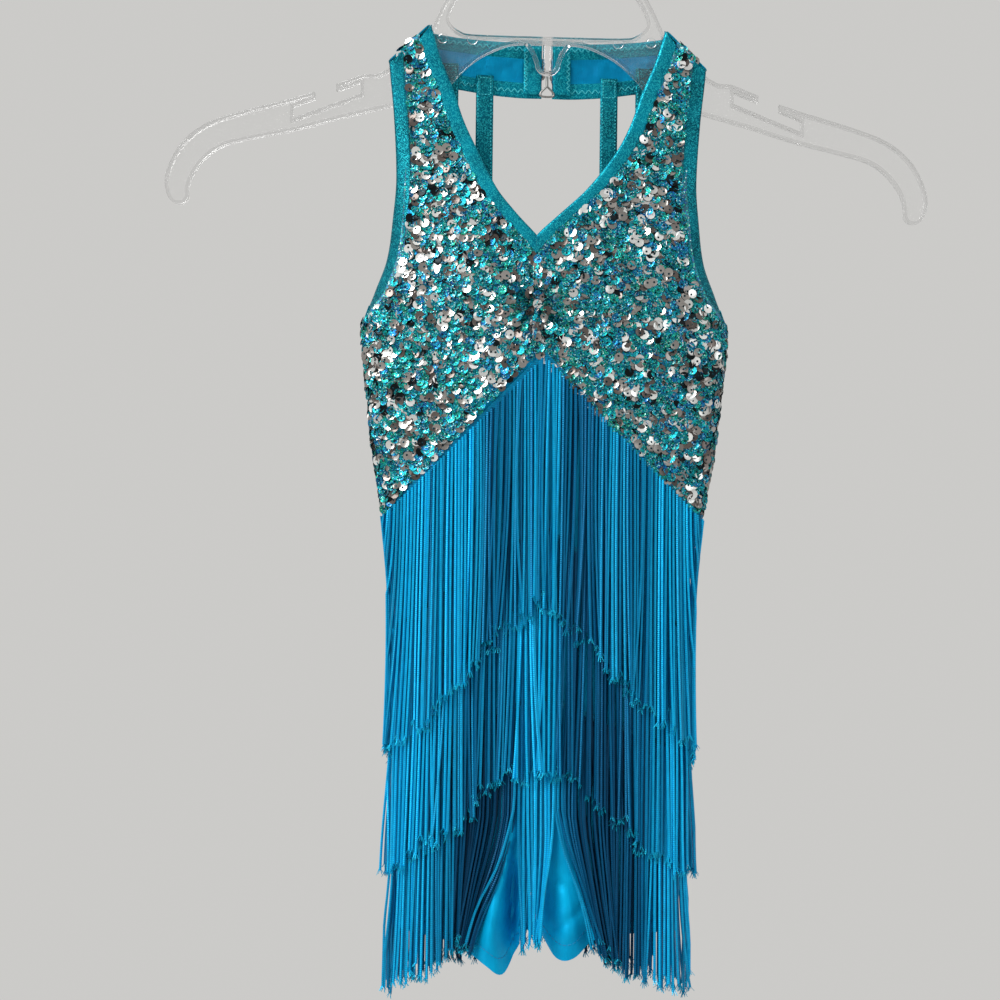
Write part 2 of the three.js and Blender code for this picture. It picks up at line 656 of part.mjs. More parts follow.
// Finds x from the length along the flattened section, measured from its middle.
function alongSection(z, face) {
  const fine = steps(SECTION_STEPS).map((t) => {
    const x = halfWidth(z) * Math.sin(radians(SIDE_STRAND_TURN * t));
    return new THREE.Vector2(x, skinDepth(x, z, face));
  });
  const lengths = [0];
  fine.slice(1).forEach((p, i) => lengths.push(lengths[i] + p.distanceTo(fine[i])));
  const xAt = (wanted) => {
    const reached = lengths.findIndex((length) => length >= Math.abs(wanted));
    const next = clamp(reached, 1, lengths.length - 1);
    const share = (Math.abs(wanted) - lengths[next - 1]) / (lengths[next] - lengths[next - 1]);
    return Math.sign(wanted) * mix(fine[next - 1].x, fine[next].x, share);
  };
  return { half: lengths.at(-1), xAt };
}

// Four corners round a point: outer left, outer right, inner right, inner left.
function corners({ point, out, round }, lift, width, depth) {
  const at = (a, b) => point.clone().addScaledVector(round, a).addScaledVector(out, b);
  const [half, low, high] = [width / 2, lift - depth / 2, lift + depth / 2];
  return [at(-half, high), at(half, high), at(half, low), at(-half, low)];
}

// The rings of one strand below the header, from its x at the root.
function strandRings(tier, face, rootX, rootZ, seed) {
  const extra = face === "front" ? longer(tier, rootX) : 0;
  const length = tier.length + extra + LENGTH_VARIATION * uneven(seed);
  const parted = face === "front" && tier === TIERS.at(-1) ? partedX(rootX) : rootX;
  const sway = SWAY * uneven(seed + SWAY_SEED) * (1 - Math.abs(rootX) / halfWidth(rootZ));
  const count = parted === rootX ? STRAND_STEPS : PARTED_STEPS;
  return steps(count).slice(1).map((t) => {
    const flare = clamp((t - PARTING.from) / PARTING.over, 0, PARTING.most) ** PARTING.power;
    const x = mix(rootX, parted, flare) + sway * t * t;
    const frame = frameAt(x, rootZ - length * t, face);
    return corners(frame, STRAND_LIFT + STRAND_SPREAD * length * t, STRAND_WIDTH, STRAND_DEPTH);
  });
}

// One tier on one face: a header strip with every strand growing out of its lower edge.
function fringe(tier, face, seed) {
  const count = tier[face];
  const { half, xAt } = alongSection(tier.side_z, face);
  const points = [];
  const index = [];
  const quad = (a, b, c, d) => index.push(a, b, c, a, c, d);
  const add = (list) => points.push(...list) - list.length;
  const station = (x) => {
    const topZ = tierLine(tier, face, x / halfWidth(tier.side_z)) - HEADER_START;
    const layers = [topZ, topZ - HEADER_HEIGHT].map((z) => frameAt(x, z, face));
    const lifted = ({ point, out }, lift) => point.clone().addScaledVector(out, lift);
    const outer = HEADER_LIFT + HEADER_DEPTH;
    const [top, low] = layers;
    const outside = [lifted(top, outer), lifted(low, outer)];
    return add([...outside, lifted(low, HEADER_LIFT), lifted(top, HEADER_LIFT)]);
  };
  const reach = half - STRAND_WIDTH / 2;
  const stations = steps(count - 1).map((t) => {
    const middle = mix(-reach, reach, t);
    const [from, to] = [-1, 1].map((sign) => station(xAt(middle + (sign * STRAND_WIDTH) / 2)));
    return { rootX: xAt(middle), from, to };
  });
  const cell = (a, b) => {
    quad(a, b, b + 1, a + 1);
    quad(a + 3, a + 2, b + 2, b + 3);
    quad(a, a + 3, b + 3, b);
  };
  stations.forEach(({ rootX, from, to }, i) => {
    cell(from, to);
    const rootZ = points[from + 1].z;
    let ring = [from + 1, to + 1, to + 2, from + 2];
    for (const nextRing of strandRings(tier, face, rootX, rootZ, seed + i)) {
      const first = add(nextRing);
      const next = [first, first + 1, first + 2, first + 3];
      ring.forEach((corner, j) => quad(corner, ring[(j + 1) % 4], next[(j + 1) % 4], next[j]));
      ring = next;
    }
    quad(...ring);
    if (i === stations.length - 1) return;
    const following = stations[i + 1].from;
    cell(to, following);
    quad(to + 1, following + 1, following + 2, to + 2);
  });
  const [start, end] = [stations[0].from, stations.at(-1).to];
  quad(start, start + 1, start + 2, start + 3);
  quad(end, end + 3, end + 2, end + 1);
  return geometryOf(points, index);
}

TIERS.forEach((tier, number) => {
  for (const face of Object.keys(faces)) {
    const seed = TIER_SEED * number + (face === "back" ? BACK_SEED : 0);
    addPiece([tier.name, face].join("_"), fringe(tier, face, seed), YARN);
  }
});

// ---- Hanger ---------------------------------------------------------------------------------------
const toPoints = (list) => list.map(({ x, z }) => new THREE.Vector2(x, z));
const mirrored = (list) => [...list].reverse().map((p) => new THREE.Vector2(-p.x, p.y));

// A flat plate in the hanger's plane, standing `depth` thick about it.
function plate(outline, depth, holes = []) {
  const shape = new THREE.Shape(outline);
  shape.holes = holes.map((hole) => new THREE.Path(hole));
  const geometry = new THREE.ExtrudeGeometry(shape, { depth, bevelEnabled: false, steps: 1 });
  geometry.translate(0, 0, -depth / 2).rotateX(Math.PI / 2);
  geometry.deleteAttribute("normal");
  geometry.deleteAttribute("uv");
  return solid(geometry);
}

// An outline moved inwards by a distance, corner by corner.
function inset(outline, distance) {
  const turn = THREE.ShapeUtils.area(outline) > 0 ? 1 : -1;
  return outline.map((p, i) => {
    const before = outline[(i + outline.length - 1) % outline.length];
    const after = outline[(i + 1) % outline.length];
    const first = p.clone().sub(before).normalize();
    const second = after.clone().sub(p).normalize();
    const bisector = new THREE.Vector2(-first.y - second.y, first.x + second.x).normalize();
    const reach = distance / Math.max(SHARPEST, bisector.dot(new THREE.Vector2(-first.y, first.x)));
    return p.clone().addScaledVector(bisector, turn * reach);
  });
}

// A bar of one width along a route in the hanger's plane.
function bar(route, width, depth) {
  const edge = (off) =>
    route.map((p, i) => {
      const along = route[Math.min(i + 1, route.length - 1)].clone();
      along.sub(route[Math.max(i - 1, 0)]).normalize();
      return new THREE.Vector2(p.x - off * along.y, p.y + off * along.x);
    });
  return plate([...edge(width / 2), ...edge(-width / 2).reverse()], depth);
}

function notch(sign) {
  const n = NOTCH;
  const upper = (x) => NOTCH_EDGE.z + NOTCH_EDGE.slope * (x - n.mouth_from);
  const point = (x, drop) => new THREE.Vector2(sign * x, upper(x) - drop);
  const floor = n.lip + n.slot;
  const outline = [
    point(n.mouth_from, -NOTCH_EDGE.clear),
    point(n.mouth_from, n.lip),
    point(n.slot_from, n.lip),
    point(n.slot_from, floor),
    point(n.slot_to, floor),
    point(n.slot_to, n.lip),
    point(n.mouth_to, n.lip),
    point(n.mouth_to, -NOTCH_EDGE.clear),
  ];
  const ends = [n.slot_from - NOTCH_EDGE.floor_reach, n.slot_to + NOTCH_EDGE.floor_reach];
  const floorRoute = ends.map((x) => point(x, floor + RIB / 2));
  return { cut: plate(outline, 2 * RIB_DEPTH), floor: bar(floorRoute, RIB, RIB_DEPTH) };
}

// The rounded loop under the window's middle, with its stem.
function centreLoop() {
  const c = CENTRE_LOOP;
  const route = [new THREE.Vector2(-c.half_top, c.top_z), new THREE.Vector2(-c.half_side, c.side_z)];
  for (let angle = 180; angle <= 360; angle += FOOT_STEP) {
    const turn = radians(angle);
    route.push(new THREE.Vector2(c.radius * Math.cos(turn), c.z + c.radius * Math.sin(turn)));
  }
  route.push(new THREE.Vector2(c.half_side, c.side_z), new THREE.Vector2(c.half_top, c.top_z));
  const stem = [CENTRE_BAR.stem_top_z, CENTRE_BAR.stem_foot_z].map((z) => new THREE.Vector2(0, z));
  return bar(route, CENTRE_BAR.width, CENTRE_BAR.depth).add(bar(stem, CENTRE_BAR.stem, WEB));
}

function hook() {
  const middle = HOOK_RADIUS + HOOK_WIRE / 2;
  const route = toPoints(HOOK_ROUTE);
  for (let angle = HOOK_ARC.from; angle <= HOOK_ARC.to; angle += ARC_STEP) {
    const turn = radians(angle);
    route.push(new THREE.Vector2(middle * Math.cos(turn), -HOOK_RADIUS + middle * Math.sin(turn)));
  }
  return bar(route, HOOK_WIRE, HOOK_WIRE);
}

function hanger() {
  const right = toPoints([...HANGER_LOWER.slice(1), ...HANGER_UPPER]);
  const outline = [...right, ...mirrored(right)];
  const windowHalf = toPoints(WINDOW);
  const hole = [...windowHalf, ...mirrored(windowHalf).slice(1, -1)];
  const ribs = plate(outline, RIB_DEPTH, [inset(outline, RIB)]);
  const windowRibs = plate(inset(hole, -RIB), RIB_DEPTH, [hole]);
  const cutHole = plate(hole, 2 * RIB_DEPTH);
  let body = plate(outline, WEB).add(ribs).subtract(cutHole).add(windowRibs);
  for (const sign of Object.values(sides)) {
    const { cut, floor } = notch(sign);
    body = body.subtract(cut).add(floor);
  }
  return body.add(centreLoop()).add(hook());
}

addPiece("hanger", geometryFrom(hanger()), CLEAR_PLASTIC, LEAN);

// Wire hook of the closure: a stem with a three-sided loop, in the gap between the collar's ends.
function closureHook() {
  const h = CLOSURE_HOOK;
  const y = COLLAR.at(-1).neck[1] - CLOTH - SEAM - TAB.thickness - h.behind;
  const at = (x, z) => new THREE.Vector2(x, z);
  const loop = [at(-h.width / 2, h.bottom), at(0, h.neck), at(h.width / 2, h.bottom)];
  const stem = [at(0, h.top), at(0, h.neck - h.wire)];
  const foot = [at(-h.foot / 2, h.bottom), at(h.foot / 2, h.bottom)];
  const wires = [loop, stem, foot].map((route) => bar(route, h.wire, h.wire));
  const geometry = geometryFrom(wires.reduce((joined, next) => joined.add(next)));
  geometry.translate(0, y, 0);
  return geometry;
}
addPiece("closure_hook", closureHook(), STEEL_WIRE);

export default group;
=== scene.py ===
"""A child's fringe dance costume: sequin bodice, foil bindings, lycra shorts and three tiers of
chainette fringe, hung on a clear hanger. Sizes are in millimetres until a piece is hung."""

import math

import bpy
import numpy as np
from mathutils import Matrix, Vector


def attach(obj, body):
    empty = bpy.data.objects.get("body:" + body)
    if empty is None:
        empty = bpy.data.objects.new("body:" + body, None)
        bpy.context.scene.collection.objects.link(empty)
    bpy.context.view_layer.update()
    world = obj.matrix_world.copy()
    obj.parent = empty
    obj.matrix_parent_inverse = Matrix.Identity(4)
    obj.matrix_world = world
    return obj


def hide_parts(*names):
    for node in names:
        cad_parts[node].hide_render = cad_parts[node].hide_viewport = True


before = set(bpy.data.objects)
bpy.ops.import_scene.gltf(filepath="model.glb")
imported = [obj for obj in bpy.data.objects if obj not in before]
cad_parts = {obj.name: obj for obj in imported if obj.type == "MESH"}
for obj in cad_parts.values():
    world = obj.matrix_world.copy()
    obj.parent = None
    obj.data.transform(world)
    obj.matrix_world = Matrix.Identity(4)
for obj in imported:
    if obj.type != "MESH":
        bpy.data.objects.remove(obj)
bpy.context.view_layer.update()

MM = 0.001
FACES = {"front": -1, "back": 1}
SIDES = {"left": -1, "right": 1}


def table(columns, rows):
    """Columns of a short table by name."""
    return dict(zip(columns.split(), np.array(rows, float).T))


# ---- Sizes of the costume ----------------------------------------------------------------------
BODY = table(
    "z half_width front back front_edge",
    [
        (-110, 90, 6.4, 11, 5.4),
        (-146, 89.5, 6.6, 11, 5.4),
        (-180, 86.3, 9, 11, 6),
        (-214, 84.6, 12, 11, 6),
        (-233, 86, 14, 11, 5),
        (-259, 89.5, 16, 11, 3),
        (-278, 96.5, 17, 11, 1.2),
        (-296, 102.5, 17.5, 11.5, 0),
        (-338, 99, 16, 12.5, 0),
        (-371, 95.3, 13.5, 12, 0),
        (-400, 90, 12, 11.5, 0),
        (-450, 83, 11.5, 12, 0),
        (-528, 79.5, 12, 14, 0),
        (-596, 80.5, 13, 14, 0),
        (-670, 78, 12, 11, 0),
    ],
)
NECKLINE = table(
    "z half_opening binding",
    [
        (-129, 65.8, 8),
        (-146, 60.5, 9),
        (-163, 53.4, 9),
        (-181, 47.2, 9),
        (-197, 39.4, 9),
        (-219, 25.3, 9),
        (-233, 12.4, 9),
        (-245.5, 0, 9),
        (-257, -9, 9),
        (-273, -20, 9),
    ],
)
HEMS = {
    "left": table("x z", [(0, -640), (4, -649), (11.5, -660), (23, -654), (45, -643), (82, -636)]),
    "right": table("x z", [(0, -638), (8, -650), (18, -650), (30, -641), (50, -637), (82, -636)]),
}
COLLAR = table(
    "neck_x neck_y neck_z low_x low_y low_z",
    [
        (67.2, -5.4, -130.6, 90, -5.4, -151.6),
        (67.2, -5.3, -127.8, 90, -5.3, -149.1),
        (67.2, -4.6, -126.9, 90, -4.6, -148.2),
        (67.2, 0, -126.7, 90, 0, -148),
        (67.2, 4.6, -126.9, 90, 4.6, -148.2),
        (67, 5.6, -127.9, 89.6, 5.9, -149.3),
        (65, 7.6, -129.2, 86, 8.4, -153),
        (59, 9.6, -129.8, 70, 10.6, -157.5),
        (48, 10.6, -131, 50, 11.4, -160),
        (30, 11.2, -132, 30, 12.2, -162.5),
        (14, 11.5, -132.5, 14, 12.5, -163.5),
        (3, 11.6, -132.5, 3, 12.6, -163.5),
    ],
)
SEAM = 0.3
EDGE_GAP = 0.6
TUCK = 2.5  # cloth that runs into a folded strip
MEET = 0.02  # half of the gap where two strips meet
CLOTH = 1.8
SHELL = 1.1  # wall of a cloth shell
FOIL_WALL = 0.45  # wall of a folded strip
ARMHOLE_BINDING = 8
BACK_BINDING = 8
STRAP_WIDTH, STRAP_DEPTH = 10, 1.7
TAB_WIDTH, TAB_DEPTH, TAB_X, TAB_TOP_Z, TAB_END_Z = 10.1, 1.4, 8.45, -136, -162
CLOSURE_Y = 11.6  # depth of the collar's neck edge at the closure
SECTION_POWER = 0.75
LEAN, LEAN_BELOW, DRIFT = 0.028, 0.014, 0.0118
NECK_POINT_Z, BINDING_POINT_Z, UNDERARM_Z = -245.5, -256.5, -296
FRONT_APEX_Z, BACK_APEX_Z, SIDE_END_Z = -309, -340, -400
BACK_TOP_Z, BACK_TOP_DIP, CROTCH_Z = -285, 12, -607
SHOULDER_NECK_X, SHOULDER_NECK_Z = 66, -129.7
SHOULDER_ARM_X, SHOULDER_ARM_Z = 90, -151.9
HEM_HALF_WIDTH, HEM_SIDE_Z, LEG_END_Z = 78, -636, -650
HEM_STITCH = 0.972  # share down the leg where the hem is stitched
LEG_ROUND, LEG_GAP = 20, {"left": 4, "right": 7}
SEAM_SHIFT, LEGS_SHIFT = -5.2, -5
STRAPS = {"outer": (55.5, -146, 8.1), "inner": (35.5, -152, 9.3)}  # x, top z, depth there
STRAP_END_Z = -290
TIERS = {  # height at the middle and at the side seams, length, strands in front and behind
    "top": {"middle": -310, "side": -401, "length": 137, "front": 92, "back": 84},
    "middle": {"middle": -406, "side": -465, "length": 137, "front": 86, "back": 80},
    "bottom": {"middle": -502, "side": -532, "length": 135, "front": 84, "back": 78},
}
BACK_DROP = 31
LONGER = {  # places where a tier's front strands hang longer or shorter: place, reach, by
    "top": [(-68, 12, 7)],
    "middle": [(-27, 13, -11), (23, 13, -11)],
    "bottom": [(-42, 16, -12)],
}
STRAND_RADIUS = 0.78
SEQUIN_RADIUS = 2.65

rng = np.random.default_rng(11)


# ---- The costume's form ------------------------------------------------------------------------
def mix(a, b, t):
    return a + (b - a) * t


def ramp(value, start, end):
    t = np.clip((value - start) / (end - start), 0, 1)
    return t * t * (3 - 2 * t)


def curve(rows, key, value):
    """A smooth curve through one column of a table, read by another column."""
    order = np.argsort(rows[key])
    keys, values = rows[key][order], rows[value][order]
    slopes = np.gradient(values, keys, edge_order=1)
    inner = (values[2:] - values[:-2]) / (keys[2:] - keys[:-2])
    slopes[1:-1] = inner

    def read(at):
        place = np.clip(at, keys[0], keys[-1])
        i = np.clip(np.searchsorted(keys, place) - 1, 0, len(keys) - 2)
        span = keys[i + 1] - keys[i]
        t = (place - keys[i]) / span
        rise = values[i + 1] - values[i]
        out, into = slopes[i] * span - rise, rise - slopes[i + 1] * span
        return mix(values[i], values[i + 1], t) + t * (1 - t) * (out * (1 - t) + into * t)

    return read


half_width = curve(BODY, "z", "half_width")
front_depth = curve(BODY, "z", "front")
back_depth = curve(BODY, "z", "back")
front_edge = curve(BODY, "z", "front_edge")
neck_opening = curve(NECKLINE, "z", "half_opening")
neck_binding = curve(NECKLINE, "z", "binding")
hem_height = {side: curve(HEMS[side], "x", "z") for side in SIDES}


def legs_shift(z):
    """Sideways shift of the gap between the legs."""
    return LEGS_SHIFT * ramp(z, -480, -600)


def seam_shift(z):
    """Sideways shift of the centre front seam, and of the legs below it."""
    return SEAM_SHIFT * ramp(z, -190, NECK_POINT_Z) * (1 - ramp(z, -310, -400)) + legs_shift(z)


def lobe(x, z):
    """Soft bulge of each leg at the front."""
    return 8 * np.exp(-(((np.abs(x - seam_shift(z)) - 18) / 9) ** 2)) * ramp(z, -575, -645)


def skin_depth(x, z, face):
    """How far the cloth's outer face stands from the middle plane."""
    share = np.clip(np.abs(x) / half_width(z), 0, 1)
    full = (1 - share**2) ** (SECTION_POWER / 2)
    if face == "back":
        return back_depth(z) * full
    edge = front_edge(z)
    return edge + (front_depth(z) - edge) * full + lobe(x, z) * full


def skin(x, z, face, lift=0.0):
    """Points of the cloth's outer face, lifted off it by a distance."""
    depth = np.maximum(skin_depth(x, z, face), SEAM / 2) + lift
    return np.stack([x, FACES[face] * depth, z], -1)


def hung(points, on_hanger=False):
    """Points in metres as the costume hangs: the right side lower and the hem drifting left."""
    x, y, z = np.moveaxis(points, -1, 0)
    slope = LEAN if on_hanger else mix(LEAN, LEAN_BELOW, ramp(z, -160, -290))
    return np.stack([x + DRIFT * z, y, z - slope * x], -1) * MM


def unit(vectors):
    return vectors / np.maximum(np.linalg.norm(vectors, axis=-1, keepdims=True), 1e-12)


def on_surface(place, s, t):
    """Points and unit normals of a laid cloth at shares across and down it."""
    step = 1e-3
    s0, s1 = np.clip(s - step, 0, 1), np.clip(s + step, 0, 1)
    t0, t1 = np.clip(t - step, 0, 1), np.clip(t + step, 0, 1)
    across = hung(place(s1, t)) - hung(place(s0, t))
    down = hung(place(s, t1)) - hung(place(s, t0))
    return hung(place(s, t)), unit(np.cross(across, down))


# ---- Making pieces -----------------------------------------------------------------------------
def coordinates(piece):
    flat = np.zeros(len(piece.data.vertices) * 3)
    piece.data.vertices.foreach_get("co", flat)
    return flat.reshape(-1, 3)


def set_coordinates(piece, points):
    piece.data.vertices.foreach_set("co", np.asarray(points, float).ravel())
    piece.data.update()


def deselect():
    if bpy.context.object and bpy.context.object.mode != "OBJECT":
        bpy.ops.object.mode_set(mode="OBJECT")
    bpy.ops.object.select_all(action="DESELECT")


def take(piece):
    deselect()
    piece.select_set(True)
    bpy.context.view_layer.objects.active = piece


def in_edit(piece, *steps):
    """Runs edit-mode steps on everything in a piece."""
    take(piece)
    bpy.ops.object.mode_set(mode="EDIT")
    bpy.ops.mesh.select_all(action="SELECT")
    for step in steps:
        step()
    bpy.ops.object.mode_set(mode="OBJECT")


def thicken(piece, wall):
    """Gives a laid cloth its wall, inwards from its outer face."""
    take(piece)
    solidify = piece.modifiers.new("wall", "SOLIDIFY")
    solidify.thickness = wall * MM
    solidify.offset = -1
    bpy.ops.object.modifier_apply(modifier=solidify.name)


def finish_piece(piece, material, node=None, smooth=50):
    """Smooths a piece, gives it its finish and lets it ride on the costume."""
    take(piece)
    bpy.ops.object.shade_smooth_by_angle(angle=math.radians(smooth))
    piece.data.materials.clear()
    piece.data.materials.append(material)
    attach(piece, "root")
    if node:
        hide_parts(node)
    return piece


def lay_cloth(name, columns, rows, place, outward, wall=SHELL, cut=(100, 100), tube=False):
    """Lays a flat grid of cloth on a form given by shares across and down."""
    deselect()
    bpy.ops.mesh.primitive_grid_add(x_subdivisions=columns, y_subdivisions=rows, size=1)
    piece = bpy.context.object
    piece.name = piece.data.name = name
    flat = coordinates(piece)
    across, down = flat[:, 0] + 0.5, 0.5 - flat[:, 1]
    uv = piece.data.uv_layers.active.data
    corner = np.zeros(len(piece.data.loops), int)
    piece.data.loops.foreach_get("vertex_index", corner)
    uv.foreach_set("uv", np.stack([across * cut[0], down * cut[1]], -1)[corner].ravel() * MM)
    set_coordinates(piece, hung(place(across, down)))
    normal = np.zeros(len(piece.data.polygons) * 3)
    piece.data.polygons.foreach_get("normal", normal)
    facing = normal.reshape(-1, 3)
    if callable(outward):
        centre = np.zeros(len(piece.data.polygons) * 3)
        piece.data.polygons.foreach_get("center", centre)
        toward = outward(centre.reshape(-1, 3))
    else:
        toward = np.array(outward, float)
    if (facing * toward).sum() < 0:
        in_edit(piece, bpy.ops.mesh.flip_normals)
    if tube:
        in_edit(piece, lambda: bpy.ops.mesh.remove_doubles(threshold=2e-6))
    thicken(piece, wall)
    return piece


def colour_points(piece, name, values):
    """Stores one colour for each point of a piece."""
    layer = piece.data.color_attributes.new(name, "FLOAT_COLOR", "POINT")
    layer.data.foreach_set("color", np.asarray(values, np.float32).ravel())


def store(piece, name, values):
    """Stores one number for each point of a piece."""
    layer = piece.data.attributes.new(name, "FLOAT", "POINT")
    layer.data.foreach_set("value", np.asarray(values, np.float32).ravel())


def joined_copies(name, models, kind, points_of):
    """One mesh of many copies: copy i is of models[kind[i]], its points set by points_of."""
    points, faces, owner, start = [], [], [], 0
    for number, model in enumerate(models):
        chosen = np.flatnonzero(kind == number)
        local = coordinates(model)
        shape = [tuple(face.vertices) for face in model.data.polygons]
        block = points_of(chosen, local)
        points.append(block.reshape(-1, 3))
        owner.append(np.repeat(chosen, len(local)))
        for copy in range(len(chosen)):
            base = start + copy * len(local)
            faces.extend([tuple(base + v for v in face) for face in shape])
        start += len(chosen) * len(local)
    mesh = bpy.data.meshes.new(name)
    mesh.from_pydata(np.concatenate(points), [], faces)
    piece = bpy.data.objects.new(name, mesh)
    bpy.context.scene.collection.objects.link(piece)
    return piece, np.concatenate(owner)


def join(first, *others):
    """Joins pieces into the first one."""
    deselect()
    for piece in (first, *others):
        piece.select_set(True)
    bpy.context.view_layer.objects.active = first
    bpy.ops.object.join()
    return first


def discard(*models):
    for model in models:
        bpy.data.objects.remove(model)


# ---- Finishes ----------------------------------------------------------------------------------
class Finish:
    """A material and short ways to add its nodes."""

    def __init__(self, name, **sockets):
        self.material = bpy.data.materials.new(name)
        self.material.use_nodes = True
        self.tree = self.material.node_tree
        self.shader = self.tree.nodes["Principled BSDF"]
        for socket, value in sockets.items():
            self.shader.inputs[socket.replace("_", " ")].default_value = value

    def node(self, kind, values=None, **settings):
        made = self.tree.nodes.new("ShaderNode" + kind)
        for key, value in settings.items():
            setattr(made, key, value)
        for key, value in (values or {}).items():
            if isinstance(value, bpy.types.NodeSocket):
                self.tree.links.new(value, made.inputs[key])
            else:
                made.inputs[key].default_value = value
        return made

    def place(self, scale=1.0, source="Object"):
        """Coordinates on the piece, stretched by a scale for each axis."""
        at = self.node("TexCoord").outputs[source]
        scale = (scale,) * 3 if isinstance(scale, (int, float)) else scale
        return self.node("Mapping", {"Vector": at, "Scale": scale}).outputs[0]

    def noise(self, scale, detail, stretch=1.0):
        values = {"Vector": self.place(stretch), "Scale": scale, "Detail": detail}
        return self.node("TexNoise", values).outputs["Fac"]

    def cells(self, scale):
        """A random colour for each small cell."""
        return self.node("TexVoronoi", {"Vector": self.place(), "Scale": scale}).outputs["Color"]

    def blend(self, amount, first, second, how="MIX"):
        made = self.node("Mix", data_type="RGBA", blend_type=how)
        for socket, value in ((0, amount), (6, first), (7, second)):
            if isinstance(value, bpy.types.NodeSocket):
                self.tree.links.new(value, made.inputs[socket])
            else:
                made.inputs[socket].default_value = value
        return made.outputs[2]

    def levels(self, value, *stops, steps=False):
        """A ramp: stops are (place, colour) or (place, number)."""
        ramp_node = self.node("ValToRGB", {"Fac": value})
        ramp_node.color_ramp.interpolation = "CONSTANT" if steps else "LINEAR"
        elements = ramp_node.color_ramp.elements
        while len(elements) < len(stops):
            elements.new(0.5)
        for element, (place, colour) in zip(elements, stops):
            grey = (colour, colour, colour, 1) if isinstance(colour, (int, float)) else colour
            element.position, element.color = place, grey
        return ramp_node.outputs[0]

    def calculate(self, how, a, b):
        return self.node("Math", {0: a, 1: b}, operation=how).outputs[0]

    def bump(self, height, strength, distance):
        values = {"Height": height, "Strength": strength, "Distance": distance * MM}
        made = self.node("Bump", values)
        before = self.shader.inputs["Normal"].links
        if before:
            self.tree.links.new(before[0].from_socket, made.inputs["Normal"])
        self.set("Normal", made.outputs[0])

    def set(self, socket, value):
        self.tree.links.new(value, self.shader.inputs[socket])


def rgb(red, green, blue):
    """A colour from screen values out of 255."""
    linear = [((c / 255 + 0.055) / 1.055) ** 2.4 if c > 10 else c / 3295 for c in (red, green, blue)]
    return (*linear, 1)


def knit(finish, scale, strength):
    """Fine stretch knit: rows and ribs on the cut's own measure."""
    ribs = finish.node("TexWave", {"Vector": finish.place(1, "UV"), "Scale": scale, "Distortion": 0.6})
    rows = finish.node(
        "TexWave",
        {"Vector": finish.place(1, "UV"), "Scale": scale * 0.8, "Distortion": 0.8},
        bands_direction="Y",
    )
    height = finish.calculate("ADD", ribs.outputs["Fac"], rows.outputs["Fac"])
    finish.bump(height, strength, 0.12)


def lycra(name, deep, bright):
    """Satin stretch lycra."""
    f = Finish(name, Roughness=0.5, Metallic=0.3, Specular_IOR_Level=0.08)
    f.set("Base Color", f.blend(f.levels(f.noise(60, 4), (0.35, 0.0), (0.7, 1.0)), deep, bright))
    knit(f, 420, 0.25)
    f.bump(f.noise(90, 3), 0.12, 1.2)
    return f.material


def foil_cloth(name, deep, bright, spark):
    """Foiled stretch cloth: a knit with fine bright specks."""
    f = Finish(name, Metallic=0.65, Specular_IOR_Level=0.1)
    base = f.blend(f.levels(f.noise(85, 4), (0.35, 0.0), (0.68, 1.0)), deep, bright)
    speck = f.cells(2600)
    shown = f.levels(speck, (0.6, 0.0), (0.72, 1.0))
    f.set("Base Color", f.blend(f.calculate("MULTIPLY", shown, 0.6), base, spark))
    f.set("Roughness", f.levels(speck, (0.3, 0.58), (0.75, 0.34)))
    f.bump(f.noise(1500, 2), 0.35, 0.12)
    f.bump(f.noise(140, 3), 0.2, 0.8)
    return f.material


def sequin_ground(name):
    """Mesh cloth under the sequins, with a haze of thread and fine glitter."""
    f = Finish(name, Metallic=0.25, Roughness=0.4)
    haze = f.blend(
        f.levels(f.noise(70, 5), (0.42, 0.0), (0.66, 1.0)), rgb(8, 84, 104), rgb(66, 126, 150)
    )
    cell = f.cells(1500)
    hue = f.levels(
        f.node("SeparateColor", {"Color": cell}).outputs[1],
        (0.0, rgb(0, 96, 104)),
        (0.35, rgb(0, 178, 184)),
        (0.6, rgb(60, 205, 160)),
        (0.75, rgb(30, 110, 200)),
        (0.9, rgb(210, 250, 245)),
        steps=True,
    )
    shown = f.levels(f.node("SeparateColor", {"Color": cell}).outputs[0], (0.55, 0.0), (0.62, 1.0))
    f.set("Base Color", f.blend(shown, haze, hue))
    f.bump(f.noise(1100, 2), 0.4, 0.2)
    return f.material


def sequin_finish(name):
    """Sequins take their stored colour, which on the silver ones is a painted reflection; the glitter ones
    break up into small bright grains.
    """
    f = Finish(name, Metallic=0.78)
    own = f.node("Attribute", attribute_name="shade")
    cell = f.node("SeparateColor", {"Color": f.cells(1900)})
    hue = f.levels(
        cell.outputs[0],
        (0.0, rgb(0, 46, 60)),
        (0.34, rgb(0, 96, 112)),
        (0.62, rgb(0, 176, 188)),
        (0.77, rgb(50, 196, 144)),
        (0.85, rgb(30, 106, 196)),
        (0.93, rgb(196, 240, 236)),
        steps=True,
    )
    grained = f.blend(0.35, hue, own.outputs["Color"])
    f.set("Base Color", f.blend(own.outputs["Alpha"], own.outputs["Color"], grained))
    f.set("Roughness", f.levels(own.outputs["Alpha"], (0.0, 0.2), (1.0, 0.34)))
    f.bump(f.calculate("MULTIPLY", cell.outputs[1], own.outputs["Alpha"]), 0.35, 0.15)
    return f.material


